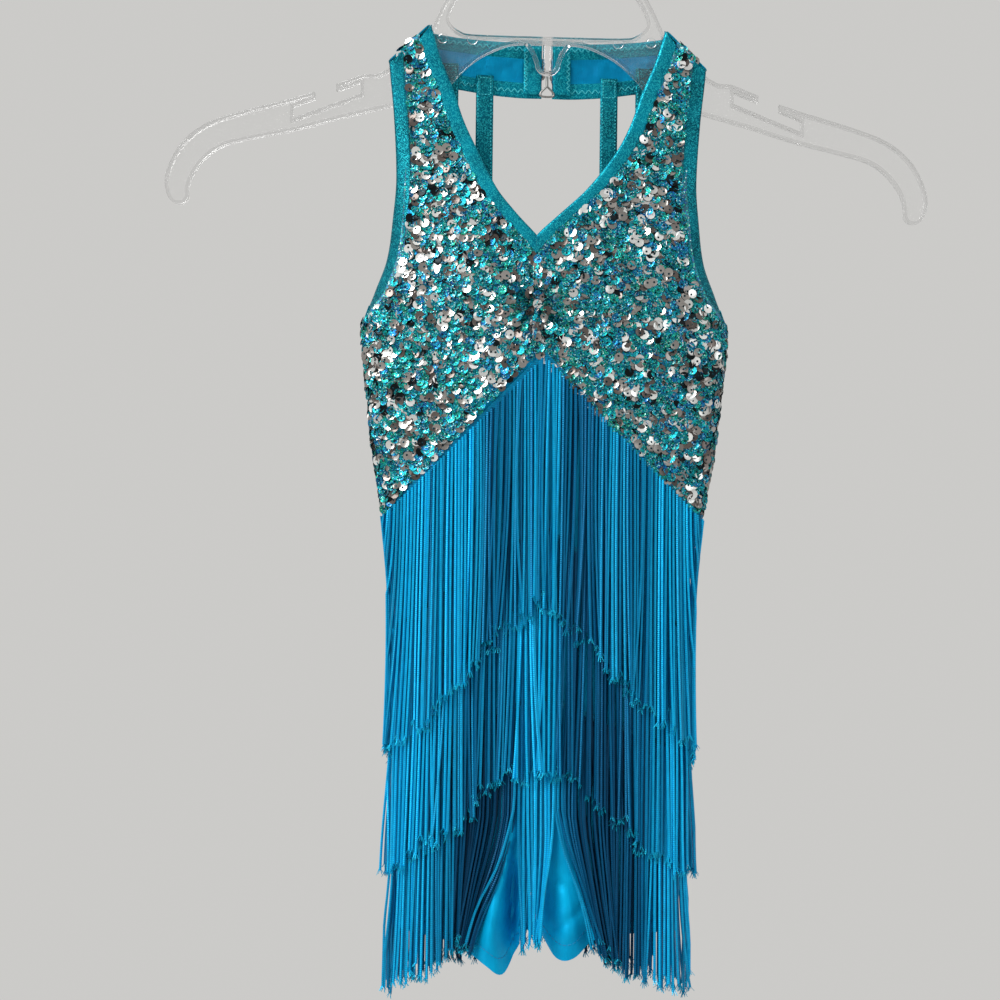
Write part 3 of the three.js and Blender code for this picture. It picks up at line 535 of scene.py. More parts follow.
def yarn(name):
    """Shiny rayon chainette: fine loops along each strand, each strand a little different; the loops and the
    stored colour carry painted shade.
    """
    f = Finish(name, Roughness=0.36, Metallic=0.35, Specular_IOR_Level=0.14)
    own = f.node("Attribute", attribute_name="shade")
    along = f.node("Attribute", attribute_name="along").outputs["Fac"]
    # The loops darken the colour as painted shade between them, besides raising a bump.
    loops = f.calculate("SINE", f.calculate("MULTIPLY", along, 2 * math.pi / 0.0011), 0.0)
    shade = f.levels(loops, (0.0, 0.72), (1.0, 1.0))
    colour = f.blend(1.0, own.outputs["Color"], shade, "MULTIPLY")
    streak = f.levels(f.noise(900, 2, stretch=(1, 1, 0.15)), (0.3, 0.85), (0.7, 1.08))
    f.set("Base Color", f.blend(1.0, colour, streak, "MULTIPLY"))
    f.bump(loops, 0.5, 0.12)
    return f.material


def clear_plastic(name):
    """Clear moulded styrene: glassy in the web, scuffed and milky on the ribs, which are tinted darker as
    painted shade of their refracting edges.
    """
    f = Finish(name, Transmission_Weight=0.985, IOR=1.36)
    rib = f.node("Attribute", attribute_name="rib").outputs["Fac"]
    f.set("Base Color", f.levels(rib, (0.0, 0.965), (1.0, 0.86)))
    scuffs = f.levels(f.noise(160, 5), (0.4, 0.02), (0.75, 0.09))
    f.set("Roughness", f.calculate("ADD", scuffs, f.calculate("MULTIPLY", rib, 0.2)))
    f.bump(f.noise(45, 2), 0.12, 0.8)
    return f.material


def steel_wire(name):
    f = Finish(name, Metallic=1.0, Base_Color=rgb(150, 150, 148))
    f.set("Roughness", f.levels(f.noise(700, 3), (0.3, 0.22), (0.7, 0.4)))
    return f.material


def thread(name, colour):
    """Matt sewing thread with a fine twist."""
    f = Finish(name, Roughness=0.6)
    twist = f.levels(f.noise(3000, 2), (0.3, 0.7), (0.7, 1.1))
    f.set("Base Color", f.blend(1.0, colour, twist, "MULTIPLY"))
    return f.material


SEQUIN_GROUND = sequin_ground("sequin_ground")
SEQUINS = sequin_finish("sequins")
FOIL = foil_cloth("foil_binding", rgb(0, 98, 120), rgb(0, 128, 152), rgb(50, 206, 216))
# A darker copy of the foil, as painted shade, for the armhole bindings and the straps.
PAINTED_SHADE_FOIL = foil_cloth("foil_binding_deep", rgb(0, 74, 90), rgb(0, 100, 120), rgb(44, 190, 200))
LYCRA = lycra("lycra", rgb(0, 158, 210), rgb(0, 182, 234))
LINING = lycra("collar_lining", rgb(0, 128, 178), rgb(0, 160, 208))
YARN = yarn("chainette_yarn")
PLASTIC = clear_plastic("clear_plastic")
WIRE = steel_wire("steel_wire")
THREAD = thread("sewing_thread", rgb(60, 200, 214))
BLUE_THREAD = thread("hem_thread", rgb(0, 140, 192))


# ---- Bodice ------------------------------------------------------------------------------------
def shoulder_z(x):
    """Height of the front's top edge."""
    share = (x - SHOULDER_NECK_X) / (SHOULDER_ARM_X - SHOULDER_NECK_X)
    return mix(SHOULDER_NECK_Z, SHOULDER_ARM_Z, share) - EDGE_GAP


def armhole_width(z):
    return mix(ARMHOLE_BINDING, 2, ramp(z, -276, UNDERARM_Z))


def arm_edge(z, side, tuck=TUCK):
    """Outer edge of the bodice: inside the armhole binding, then along the side seam."""
    reach = np.maximum(armhole_width(z) - tuck, 0)
    inside = np.where(z > UNDERARM_Z + 1, reach, 0)
    return SIDES[side] * (half_width(z) - inside)


def neck_edge(z, side, with_binding=True, tuck=TUCK):
    opening = neck_opening(z) + (neck_binding(z) - tuck if with_binding else 0)
    return seam_shift(z) + SIDES[side] * np.maximum(opening, MEET)


BODICE_TOP_Z = shoulder_z(SHOULDER_NECK_X + 8)
ARM_TOP_Z = shoulder_z(SHOULDER_ARM_X - ARMHOLE_BINDING)


def outer_z(t):
    """Height along the bodice's outer edge: of 20 parts the armhole takes 11, the side seam 8."""
    return np.interp(t, [0, 11 / 20, 12 / 20, 1], [ARM_TOP_Z, UNDERARM_Z + 1, UNDERARM_Z - 3, SIDE_END_Z])


def gathers(x, z):
    """Shirring: folds that fan out from the centre front seam, deepest close to it."""
    dx, dz = x - seam_shift(z), z + 284
    distance, angle = np.hypot(dx, dz), np.arctan2(dx, dz)
    folds = np.sin(13 * angle) + 0.6 * np.sin(21 * angle + 0.8) * ramp(distance, 6, 16)
    hollow = -1.6 * np.exp(-((dx / 5) ** 2)) * np.exp(-((dz / 26) ** 2))
    return 1.15 * folds * np.exp(-distance / 30) * ramp(distance, 1, 7) + hollow


def soft_waves(x, z):
    """Slight unevenness of hanging cloth."""
    return 0.5 * np.sin(x / 17 + z / 23) * np.sin(z / 31 - x / 29) + 0.25 * np.sin(x / 7.5 - z / 13)


def front_half(side, tuck=TUCK):
    def place(s, t):
        from_z, to_z = mix(BODICE_TOP_Z, FRONT_APEX_Z, t), outer_z(t)
        share = np.sin(s * math.pi / 2)
        z = mix(from_z, to_z, share)
        x = mix(neck_edge(from_z, side, True, tuck), arm_edge(to_z, side, tuck), share)
        loose = ramp(s, 0.0, 0.12) * ramp(1 - s, 0.0, 0.15)
        return skin(x, z, "front", gathers(x, z) * ramp(s, -0.01, 0.03) + loose * soft_waves(x, z))

    return place


def across(face, top, bottom):
    """A panel from one side seam to the other between two heights."""

    def place(s, t):
        share = np.sin(mix(-math.pi / 2, math.pi / 2, s))
        z = mix(top(share), bottom(share), t)
        x = share * half_width(mix(top(1.0), bottom(1.0), t))
        loose = ramp(1 - np.abs(share), 0, 0.12)
        return skin(x, z, face, loose * soft_waves(x + 40, z))

    return place


def back_top(share):
    return BACK_TOP_Z - BACK_TOP_DIP * (1 - share * share)


def chevron(share, apex):
    return mix(apex, SIDE_END_Z, np.abs(share))


def folded_strip(name, outer_line, free_line, outward, rows, cut, depth=1.0):
    """A strip folded round an edge: flat on both faces and rounded over the free edge."""
    profile = table(
        "share across depth",
        [
            (0, 0.02, -0.35),
            (0.02, 0, 0.1),
            (0.06, 0.04, 0.42),
            (0.2, 0.3, 0.58),
            (0.4, 0.8, 0.56),
            (0.46, 0.95, 0.3),
            (0.5, 1.02, -0.45),
            (0.54, 0.95, -1.2),
            (0.6, 0.8, -1.42),
            (0.8, 0.3, -1.45),
            (0.96, 0.06, -1.4),
            (1.0, 0.02, -1.1),
        ],
    )
    read_across, read_depth = curve(profile, "share", "across"), curve(profile, "share", "depth")

    def place(s, t):
        a, b = outer_line(t), free_line(t)
        over = np.maximum(read_across(s), 0)[:, None]
        return a + (b - a) * over + np.array(outward(t)) * (read_depth(s) * depth)[:, None]

    return lay_cloth(name, 24, rows, place, lambda at: strip_facing(at, place), FOIL_WALL, cut)


def strip_facing(centres, place):
    """Outward directions of a folded strip, from its own middle line."""
    t = np.linspace(0, 1, 200)
    middle = hung(0.5 * (place(np.full(200, 0.28), t) + place(np.full(200, 0.72), t)))
    nearest = ((centres[:, None] - middle[None]) ** 2).sum(-1).argmin(1)
    return centres - middle[nearest]


CREST = 2.4  # how far the bindings run up past the shoulder seam


def neck_lines(side):
    """The neck binding's stitched line and its free edge."""

    def outer(t):
        z = mix(BODICE_TOP_Z + CREST, BINDING_POINT_Z, t)
        opening = np.maximum(neck_opening(z) + neck_binding(z) - 0.6 * ramp(t, 0.9, 1), MEET)
        return skin(seam_shift(z) + SIDES[side] * opening, z, "front", 0.0)

    def free(t):
        z = mix(SHOULDER_NECK_Z + CREST, NECK_POINT_Z, t)
        return skin(neck_edge(z, side, False), z, "front", 0.0)

    return outer, free


def armhole_lines(side):
    def outer(t):
        z = mix(ARM_TOP_Z + CREST, UNDERARM_Z + 1, t)
        return skin(SIDES[side] * (half_width(z) - armhole_width(z)), z, "front", 0.0)

    def free(t):
        z = mix(SHOULDER_ARM_Z + CREST, UNDERARM_Z + 1, t)
        return skin(SIDES[side] * half_width(z), z, "front", 0.0)

    return outer, free


def back_top_lines():
    def line(drop):
        def at(t):
            share = np.sin(mix(-math.pi / 2, math.pi / 2, t))
            z = back_top(share) - drop
            return skin(share * half_width(z), z, "back", 0.0)

        return at

    return line(BACK_BINDING), line(0)


def towards(face):
    return lambda t: np.tile([0.0, FACES[face], 0.0], (len(t), 1))


cloth = {}
with_cloth = {}
for side in SIDES:
    cloth["front_bodice_" + side] = finish_piece(
        lay_cloth("sequin_cloth_front_" + side, 72, 110, front_half(side), (0, -1, 0), cut=(107, 265)),
        SEQUIN_GROUND, "front_bodice_" + side,
    )
    for name, lines, foil in (("neck", neck_lines(side), FOIL), ("armhole", armhole_lines(side), PAINTED_SHADE_FOIL)):
        strip = folded_strip(f"{name}_strip_{side}", *lines, towards("front"), 90, (17, 150))
        node = f"{name}_binding_{side}"
        cloth[node] = finish_piece(strip, foil, node)

back_place = across(
    "back",
    lambda share: back_top(share) - BACK_BINDING - EDGE_GAP,
    lambda share: chevron(share, BACK_APEX_Z),
)
cloth["back_bodice"] = finish_piece(
    lay_cloth("sequin_cloth_back", 110, 60, back_place, (0, 1, 0), cut=(208, 108)),
    SEQUIN_GROUND, "back_bodice",
)
cloth["back_binding"] = finish_piece(
    folded_strip("back_strip", *back_top_lines(), towards("back"), 110, (17, 206)),
    FOIL, "back_binding",
)


# ---- Sequins -----------------------------------------------------------------------------------
def sequin_model():
    """One sequin: a thin cupped disc sewn down by a knot through its hole, which is off the middle."""
    deselect()
    bpy.ops.mesh.primitive_circle_add(vertices=10, radius=SEQUIN_RADIUS * MM, fill_type="NGON")
    disc = bpy.context.object
    in_edit(
        disc,
        lambda: bpy.ops.mesh.inset(thickness=0.9 * MM, depth=-0.2 * MM),
        lambda: bpy.ops.transform.translate(value=(0, 0.35 * MM, 0)),
        lambda: bpy.ops.mesh.inset(thickness=1.0 * MM, depth=0),
        lambda: bpy.ops.transform.translate(value=(0, 0.45 * MM, 0)),
        lambda: bpy.ops.mesh.delete(type="ONLY_FACE"),
    )
    deselect()
    bpy.ops.mesh.primitive_cone_add(
        vertices=6, radius1=0.8 * MM, radius2=0.25 * MM, depth=0.2 * MM, location=(0, 0.8 * MM, -0.16 * MM)
    )
    take(bpy.context.object)
    bpy.ops.object.transform_apply(location=True)
    return join(disc, bpy.context.object), 30


def scattered(place, count, spacing):
    """Shares across and down a cloth, spread evenly but not in rows."""
    fine = 160
    s, t = np.meshgrid(np.linspace(0, 1, fine), np.linspace(0, 1, fine))
    grid = hung(place(s.ravel(), t.ravel())).reshape(fine, fine, 3)
    sideways, down = np.gradient(grid, axis=1), np.gradient(grid, axis=0)
    area = np.linalg.norm(np.cross(sideways, down), axis=-1).ravel()
    chosen = rng.choice(fine * fine, size=count * 12, p=area / area.sum())
    jitter = rng.uniform(-0.5, 0.5, (2, len(chosen))) / fine
    s, t = (np.clip(v.ravel()[chosen] + by, 0.004, 0.996) for v, by in zip((s, t), jitter))
    points = hung(place(s, t))
    cell = {}
    taken = []
    size = spacing * MM
    for i, point in enumerate(points):
        key = tuple((point[[0, 2]] // size).astype(int))
        near = (cell.get((key[0] + a, key[1] + b), ()) for a in (-1, 0, 1) for b in (-1, 0, 1))
        if all(((points[j] - point) ** 2).sum() > size * size for group in near for j in group):
            cell.setdefault(key, []).append(i)
            taken.append(i)
            if len(taken) == count:
                break
    return s[taken], t[taken]


# The white, grey, brown and near-black silver sequins' colours are painted reflections of the room; the
# glitter ones' colours are their own.
SEQUIN_COLOURS_AND_REFLECTIONS = [  # share of all, colour, glitter
    (0.11, rgb(244, 246, 244), 0.0),
    (0.14, rgb(158, 154, 150), 0.0),
    (0.09, rgb(104, 96, 92), 0.0),
    (0.04, rgb(12, 22, 26), 0.0),
    (0.22, rgb(0, 156, 168), 1.0),
    (0.16, rgb(0, 96, 112), 1.0),
    (0.11, rgb(20, 150, 118), 1.0),
    (0.09, rgb(20, 100, 176), 1.0),
]


def lapping(place):
    """A cloth's face that runs on over the seam below it, so that its sequins lap over the fringe."""

    def lapped(s, t):
        points, over = place(s, t), ramp(t, 0.93, 1)
        outwards = np.sign(points[:, 1:2]) * over[:, None]
        return points + outwards * (0, 0.9, 0) - over[:, None] * (0, 0, 2.2)

    return lapped


def sew_sequins(name, place, outward, count, spacing, carrier):
    """Sews sequins on a cloth, tilted a little each its own way and lapping downwards."""
    s, t = scattered(place, count, spacing)
    points, normals = on_surface(place, s, t)
    facing = outward(points) if callable(outward) else np.array(outward)
    normals *= np.sign((normals * facing).sum(-1, keepdims=True))
    normals = unit(normals + rng.normal(0, 0.16, normals.shape) + np.array([0, 0, 0.1]))
    spin = unit(np.cross(normals, rng.normal(size=normals.shape) + np.array([0, 0, 0.001])))
    turns = np.stack([spin, np.cross(normals, spin), normals], -1)
    lifts = rng.uniform(0.55, 1.5, len(s))[:, None] * MM
    model, disc_points = sequin_model()
    model_points = len(model.data.vertices)
    piece, owner = joined_copies(
        name, [model], np.zeros(len(s), int),
        lambda chosen, local: np.einsum("nij,mj->nmi", turns[chosen], local)
        + (points + normals * lifts)[chosen][:, None],
    )
    discard(model)
    shares = np.array([row[0] for row in SEQUIN_COLOURS_AND_REFLECTIONS])
    shade = rng.choice(len(shares), size=len(s), p=shares / shares.sum())
    # For the silver sequins this colour and the random brightness below are painted reflection.
    colour = np.array([row[1] for row in SEQUIN_COLOURS_AND_REFLECTIONS])[shade]
    colour[:, :3] *= rng.uniform(0.68, 1.12, (len(s), 1))
    colour[:, 3] = np.array([row[2] for row in SEQUIN_COLOURS_AND_REFLECTIONS])[shade]
    on_points = np.clip(colour, 0, 1)[owner].reshape(len(s), model_points, 4)
    # The knot's dark teal is its thread, darkened further as painted shade in the hole.
    on_points[:, disc_points:] = (*rgb(8, 44, 54)[:3], 0)
    colour_points(piece, "shade", on_points)
    finish_piece(piece, SEQUINS, smooth=35)
    with_cloth.setdefault(carrier, []).append(piece)


for side in SIDES:
    front_place = lapping(front_half(side, -1.6))
    sew_sequins("sequins_front_" + side, front_place, (0, -1, 0), 1750, 2.35, "front_bodice_" + side)
sew_sequins("sequins_back", lapping(back_place), (0, 1, 0), 2400, 2.5, "back_bodice")


# ---- Collar, straps and closure ----------------------------------------------------------------
def collar_place(side, inset=0.0, start=0.0, end=1.0, first=0.0):
    """The collar's form: across it between two shares, and along it from a row to the closure."""
    rows = dict(COLLAR, row=np.arange(len(COLLAR["neck_x"]), dtype=float))
    read = {key: curve(rows, "row", key) for key in COLLAR}

    def place(s, t):
        row = mix(first, len(rows["row"]) - 1, t)
        neck = np.stack([read["neck_" + a](row) for a in "xyz"], -1)
        low = np.stack([read["low_" + a](row) for a in "xyz"], -1)
        down = mix(start, end, s)[:, None]
        points = neck + (low - neck) * down
        soft = np.sin(row * 4.1 + down[:, 0] * 5) + 0.6 * np.sin(row * 9.0 - down[:, 0] * 7)
        loose = ramp(row, 6.5, 8) * ramp(11 - row, 0, 1)
        loose = loose * ramp(down[:, 0], 0.3, 0.42) * ramp(down[:, 0], 0.7, 0.58)
        points[:, 1] += inset - 0.6 * np.abs(soft) * loose
        points[:, 0] *= SIDES[side]
        return points

    return place


def collar_edge(side, low):
    """The strip folded over the collar's neck edge or over its lower edge."""
    place = collar_place(side)
    free_share = 1.0 if low else 0.0

    def seam(t):
        return place(np.full_like(t, abs(free_share - 0.29)), mix(0.17, 1, t))

    def free(t):
        return place(np.full_like(t, free_share), mix(0.17, 1, t))

    def outward(t):
        t, step = mix(0.17, 1, t), 2e-3
        row = lambda at: place(np.full_like(t, 0.5), np.clip(at, 0, 1))
        sideways = place(np.full_like(t, 0.6), t) - place(np.full_like(t, 0.4), t)
        normal = unit(np.cross(sideways, row(t + step) - row(t - step)))
        return normal * np.sign(normal @ np.array([0, 1, 1.0]))[:, None]

    name = f"collar_{'low' if low else 'top'}_strip_{side}"
    strip = folded_strip(name, seam, free, outward, 80, (12, 125), depth=0.62)
    return finish_piece(strip, FOIL)


def flat_tube(name, centre, width, depth, rows, cut, closed_ends=False):
    """A strap or tab sewn into a flat tube: centre gives its middle line in millimetres."""

    def place(s, t):
        angle = 2 * math.pi * s
        ends = np.sqrt(np.clip(1 - np.abs(2 * t - 1) ** 12, 0, 1)) if closed_ends else 1.0
        x = width / 2 * np.sign(np.cos(angle)) * np.abs(np.cos(angle)) ** 0.5
        y = depth / 2 * np.sign(np.sin(angle)) * np.abs(np.sin(angle)) ** 0.8 * ends
        return centre(t) + np.stack([x, y, np.zeros_like(x)], -1)

    def away(at):
        t = np.linspace(0, 1, 60)
        middle = hung(centre(t))
        nearest = ((at[:, None] - middle[None]) ** 2).sum(-1).argmin(1)
        return at - middle[nearest]

    return lay_cloth(name, 24, rows, place, away, FOIL_WALL * 0.8, cut, tube=True)


def strap_centre(side, x, top_z, top_y):
    end_depth = skin_depth(np.array(x), STRAP_END_Z, "back") - CLOTH - SEAM

    def centre(t):
        y = mix(top_y, end_depth, t) - CLOTH / 2 + 0.5 * np.sin(t * 7 + x) * np.sin(math.pi * t)
        return np.stack([np.full_like(t, SIDES[side] * x), y, mix(top_z, STRAP_END_Z, t)], -1)

    return centre


def tab_centre(side):
    x, y = SIDES[side] * TAB_X, CLOSURE_Y - CLOTH - SEAM - TAB_DEPTH / 2
    return lambda t: np.stack([np.full_like(t, x), np.full_like(t, y), mix(TAB_TOP_Z, TAB_END_Z, t)], -1)


def from_neck(points):
    """Directions to the front or the back, away from the neck, and slightly up."""
    return points * (0, 1, 0) + (0, 0, 0.004)


for side in SIDES:
    inside = collar_place(side, 0.0, 0.045, 0.955, 1.4)
    cloth["collar_" + side] = finish_piece(
        lay_cloth("collar_cloth_" + side, 24, 110, inside, from_neck, wall=0.75, cut=(31, 98)),
        LINING, "collar_" + side,
    )
    with_cloth["collar_" + side] = [collar_edge(side, False), collar_edge(side, True)]
    outside = collar_place(side, 0.0, 0.24, 0.76)
    outer_cloth = lay_cloth("collar_sequin_cloth_" + side, 12, 80, outside, from_neck, -0.3, (16, 125))
    with_cloth["collar_" + side].append(finish_piece(outer_cloth, SEQUIN_GROUND))
    sequin_place = collar_place(side, 0.5, 0.3, 0.7)
    sew_sequins("sequins_collar_" + side, sequin_place, from_neck, 230, 2.4, "collar_" + side)
    for name, (x, top_z, top_y) in STRAPS.items():
        node = f"strap_{name}_{side}"
        centre, cut = strap_centre(side, x, top_z, top_y), (22, -top_z - 1)
        tube = flat_tube(f"strap_tube_{name}_{side}", centre, STRAP_WIDTH, STRAP_DEPTH, 60, cut)
        cloth[node] = finish_piece(tube, PAINTED_SHADE_FOIL, node)
    tab = flat_tube("tab_" + side, tab_centre(side), TAB_WIDTH, TAB_DEPTH, 30, (21, 26), closed_ends=True)
    cloth["closure_tab_" + side] = finish_piece(tab, FOIL, "closure_tab_" + side)


# ---- Shorts ------------------------------------------------------------------------------------
CREASES = table(  # soft ridges and troughs of the shorts: from, to, half width, height
    "x0 z0 x1 z1 reach height",
    [
        (-14, -562, -20, -620, 3.6, 4.5),
        (-21, -600, -31, -660, 4.6, 5.0),
        (-14, -588, -15.5, -650, 3.0, -12.0),
        (-10.4, -618, -10, -654, 1.6, 8.0),
        (-38, -600, -52, -648, 7, -3.0),
        (-24, -640, -23, -660, 2.5, 1.5),
        (9, -560, 19, -606, 6, 3.4),
        (14, -618, 20, -652, 7, 3.4),
        (2, -604, 32, -616, 2.2, -1.6),
        (2, -640, 30, -618, 2.6, -1.8),
        (-1, -622, 9, -650, 2.6, 2.4),
        (25, -630, 31, -648, 4, -3.0),
        (-60, -440, -20, -470, 9, 0.8),
        (60, -450, 22, -480, 9, -0.8),
    ],
)


SHORTS_GRID = {"front": (72, 150), "back": (48, 110)}  # divisions across and down


def creases(x, z):
    total = np.zeros_like(x)
    for x0, z0, x1, z1, reach, height in zip(*CREASES.values()):
        run_x, run_z = x1 - x0, z1 - z0
        along = np.clip(((x - x0) * run_x + (z - z0) * run_z) / (run_x**2 + run_z**2), 0, 1)
        off = np.hypot(x - mix(x0, x1, along), z - mix(z0, z1, along))
        total += height * np.exp(-((off / reach) ** 2)) * np.sin(math.pi * np.clip(along, 0.08, 0.92))
    return total


def shorts_quarter(face, side):
    apex = FRONT_APEX_Z if face == "front" else BACK_APEX_Z
    sign = SIDES[side]

    def place(s, t):
        share = np.sin(s * math.pi / 2)
        top = chevron(share, apex) - EDGE_GAP
        z = mix(top, hem_height[side](share * HEM_HALF_WIDTH), t)
        inseam = np.maximum(SEAM / 2, LEG_GAP[side] * ramp(z, CROTCH_Z, CROTCH_Z - 40))
        shift = (seam_shift if face == "front" else legs_shift)(mix(apex, LEG_END_Z, t))
        side_z = mix(SIDE_END_Z, HEM_SIDE_Z, t)
        x = mix(sign * inseam + shift, sign * half_width(side_z), share)
        rounded = np.clip(np.abs(x - sign * inseam - shift) / LEG_ROUND, 0, 1) ** 0.5
        depth = np.maximum(skin_depth(x, z, face), SEAM / 2)
        depth = depth * mix(1, rounded, ramp(z, CROTCH_Z + 12, CROTCH_Z - 6))
        seed = 0 if face == "front" else 90
        folds = creases(x if face == "front" else -x, z) * ramp(s, 0, 0.015)
        folds += 0.5 * soft_waves(x + seed, z) * ramp(s, 0, 0.08)
        hem = 0.35 * np.exp(-(((t - HEM_STITCH) / 0.006) ** 2))
        depth = np.maximum(depth + folds * ramp(1 - s, 0, 0.08) - hem, SEAM / 2)
        return np.stack([x, FACES[face] * depth, z], -1)

    return place


for face in FACES:
    for side in SIDES:
        node = f"shorts_{face}_{side}"
        form, outward = shorts_quarter(face, side), (0, FACES[face], 0)
        quarter = lay_cloth(
            f"shorts_cloth_{face}_{side}", *SHORTS_GRID[face], form, outward, wall=0.9, cut=(104, 340)
        )
        cloth[node] = finish_piece(quarter, LYCRA, node)


# ---- Fringe ------------------------------------------------------------------------------------
def frame_at(x, z, face):
    """A point of the cloth, the way out of it and the way round it."""
    half = half_width(z)
    turn = np.arcsin(np.clip(x / half, -0.998, 0.998))

    def at(angle):
        px = half * np.sin(angle)
        return np.stack([px, FACES[face] * skin_depth(px, z, face), z], -1)

    around = unit(at(turn + 0.02) - at(turn - 0.02))
    out = np.stack([-around[..., 1], around[..., 0], np.zeros_like(x)], -1)
    out *= np.sign(out[..., 1:2] * FACES[face] + 1e-9)
    return at(turn), out, around


def even_along(z, face, count, turn=84.0):
    """x of evenly spaced roots along the flattened section."""
    angle = np.radians(np.linspace(-turn, turn, 400))
    x = half_width(z) * np.sin(angle)
    y = skin_depth(x, np.full_like(x, z), face)
    length = np.concatenate([[0], np.cumsum(np.hypot(np.diff(x), np.diff(y)))])
    return np.interp(np.linspace(0, length[-1], count), length, x)


def tier_line(tier, face, share):
    drop = BACK_DROP if face == "back" and tier == "top" else 0
    return mix(TIERS[tier]["middle"] - drop, TIERS[tier]["side"], np.abs(share))


BUNCH = (-11.3, 7.3)  # strands between these places hang between the legs
BESIDE_LEGS = (-34.5, 31)  # where the strands next to them end


def parted(x):
    """Where the bottom tier's strands end: they part round the bulge of each leg."""
    left = np.minimum(BESIDE_LEGS[0] + (x - BUNCH[0]) * 0.35, x)
    right = np.maximum(BESIDE_LEGS[1] + (x - BUNCH[1]) * 0.35, x)
    return np.where((x > BUNCH[0]) & (x < BUNCH[1]), x * 0.9 - 0.5, np.where(x < 0, left, right))


def longer(tier, x):
    """How much longer a tier's front strands hang round some places."""
    hills = LONGER.get(tier, ())
    return sum((by * np.exp(-(((x - at) / reach) ** 2)) for at, reach, by in hills), np.zeros_like(x))


def slow_noise(x, seed, reach):
    """Smooth unevenness along a row, so that neighbouring strands lean together."""
    phases = np.random.default_rng(seed).uniform(0, 6.28, 3)
    at = x / reach
    waves = np.sin(at + phases[0]) + np.sin(at * 2.3 + phases[1]) + 0.6 * np.sin(at * 4.1 + phases[2])
    return waves / 2.6


def strand_models():
    """Chainette strands of unit length, each with its own frayed end."""
    models = []
    for number in range(5):
        shape = np.random.default_rng(40 + number)
        deselect()
        bpy.ops.mesh.primitive_cylinder_add(vertices=5, radius=STRAND_RADIUS, depth=1, location=(0, 0, -0.5))
        strand = bpy.context.object
        for cut in range(1, 16):
            in_edit(strand, lambda: bpy.ops.mesh.bisect(plane_co=(0, 0, -cut / 16), plane_no=(0, 0, 1)))
        take(strand)
        bpy.ops.object.transform_apply(location=True)
        tufts = []
        for hair in range(6):
            lean_x, lean_y = shape.normal(0, 1.5, 2)
            reach = shape.uniform(0.014, 0.03)
            bpy.ops.mesh.primitive_cone_add(vertices=3, radius1=0.5, radius2=0.3, depth=reach)
            tuft = bpy.context.object
            points = coordinates(tuft)
            drop = 0.5 - points[:, 2] / reach
            side_x, side_y = shape.normal(0, 0.35, 2)
            below = 1 - (points[:, 2] > 0)
            points = np.stack(
                [
                    points[:, 0] * np.where(below, 0.4, 1) + side_x + lean_x * below,
                    points[:, 1] * np.where(below, 0.4, 1) + side_y + lean_y * below,
                    -0.995 - reach * below,
                ],
                -1,
            )
            set_coordinates(tuft, points)
            tufts.append(tuft)
        models.append(join(strand, *tufts))
    return models


# Each group's number sets how far its strands stand forward and, as painted light or shade, how bright their
# colour is.
GROUP_LIFT_AND_PAINTED_SHADE = table(  # where each tier's strands stand forward and bright, or lie back in shade
    "x top middle bottom",
    [
        (-90, 0.95, 1.1, 1.0),
        (-76, 1.25, 1.45, 1.2),
        (-56, 1.25, 1.3, 0.95),
        (-42, 1.15, 0.75, 0.25),
        (-30, 0.6, 0.6, 0.2),
        (-16, 0.62, 0.7, 0.28),
        (-10, 0.8, 1.2, 1.1),
        (0, 1.05, 1.35, 1.35),
        (7, 0.95, 1.25, 1.3),
        (14, 0.5, 0.5, 0.5),
        (26, 0.45, 0.34, 0.24),
        (40, 0.8, 0.38, 0.24),
        (54, 0.66, 0.5, 0.36),
        (64, 0.8, 0.75, 1.0),
        (74, 1.25, 1.2, 1.3),
        (90, 1.15, 1.1, 1.15),
    ],
)


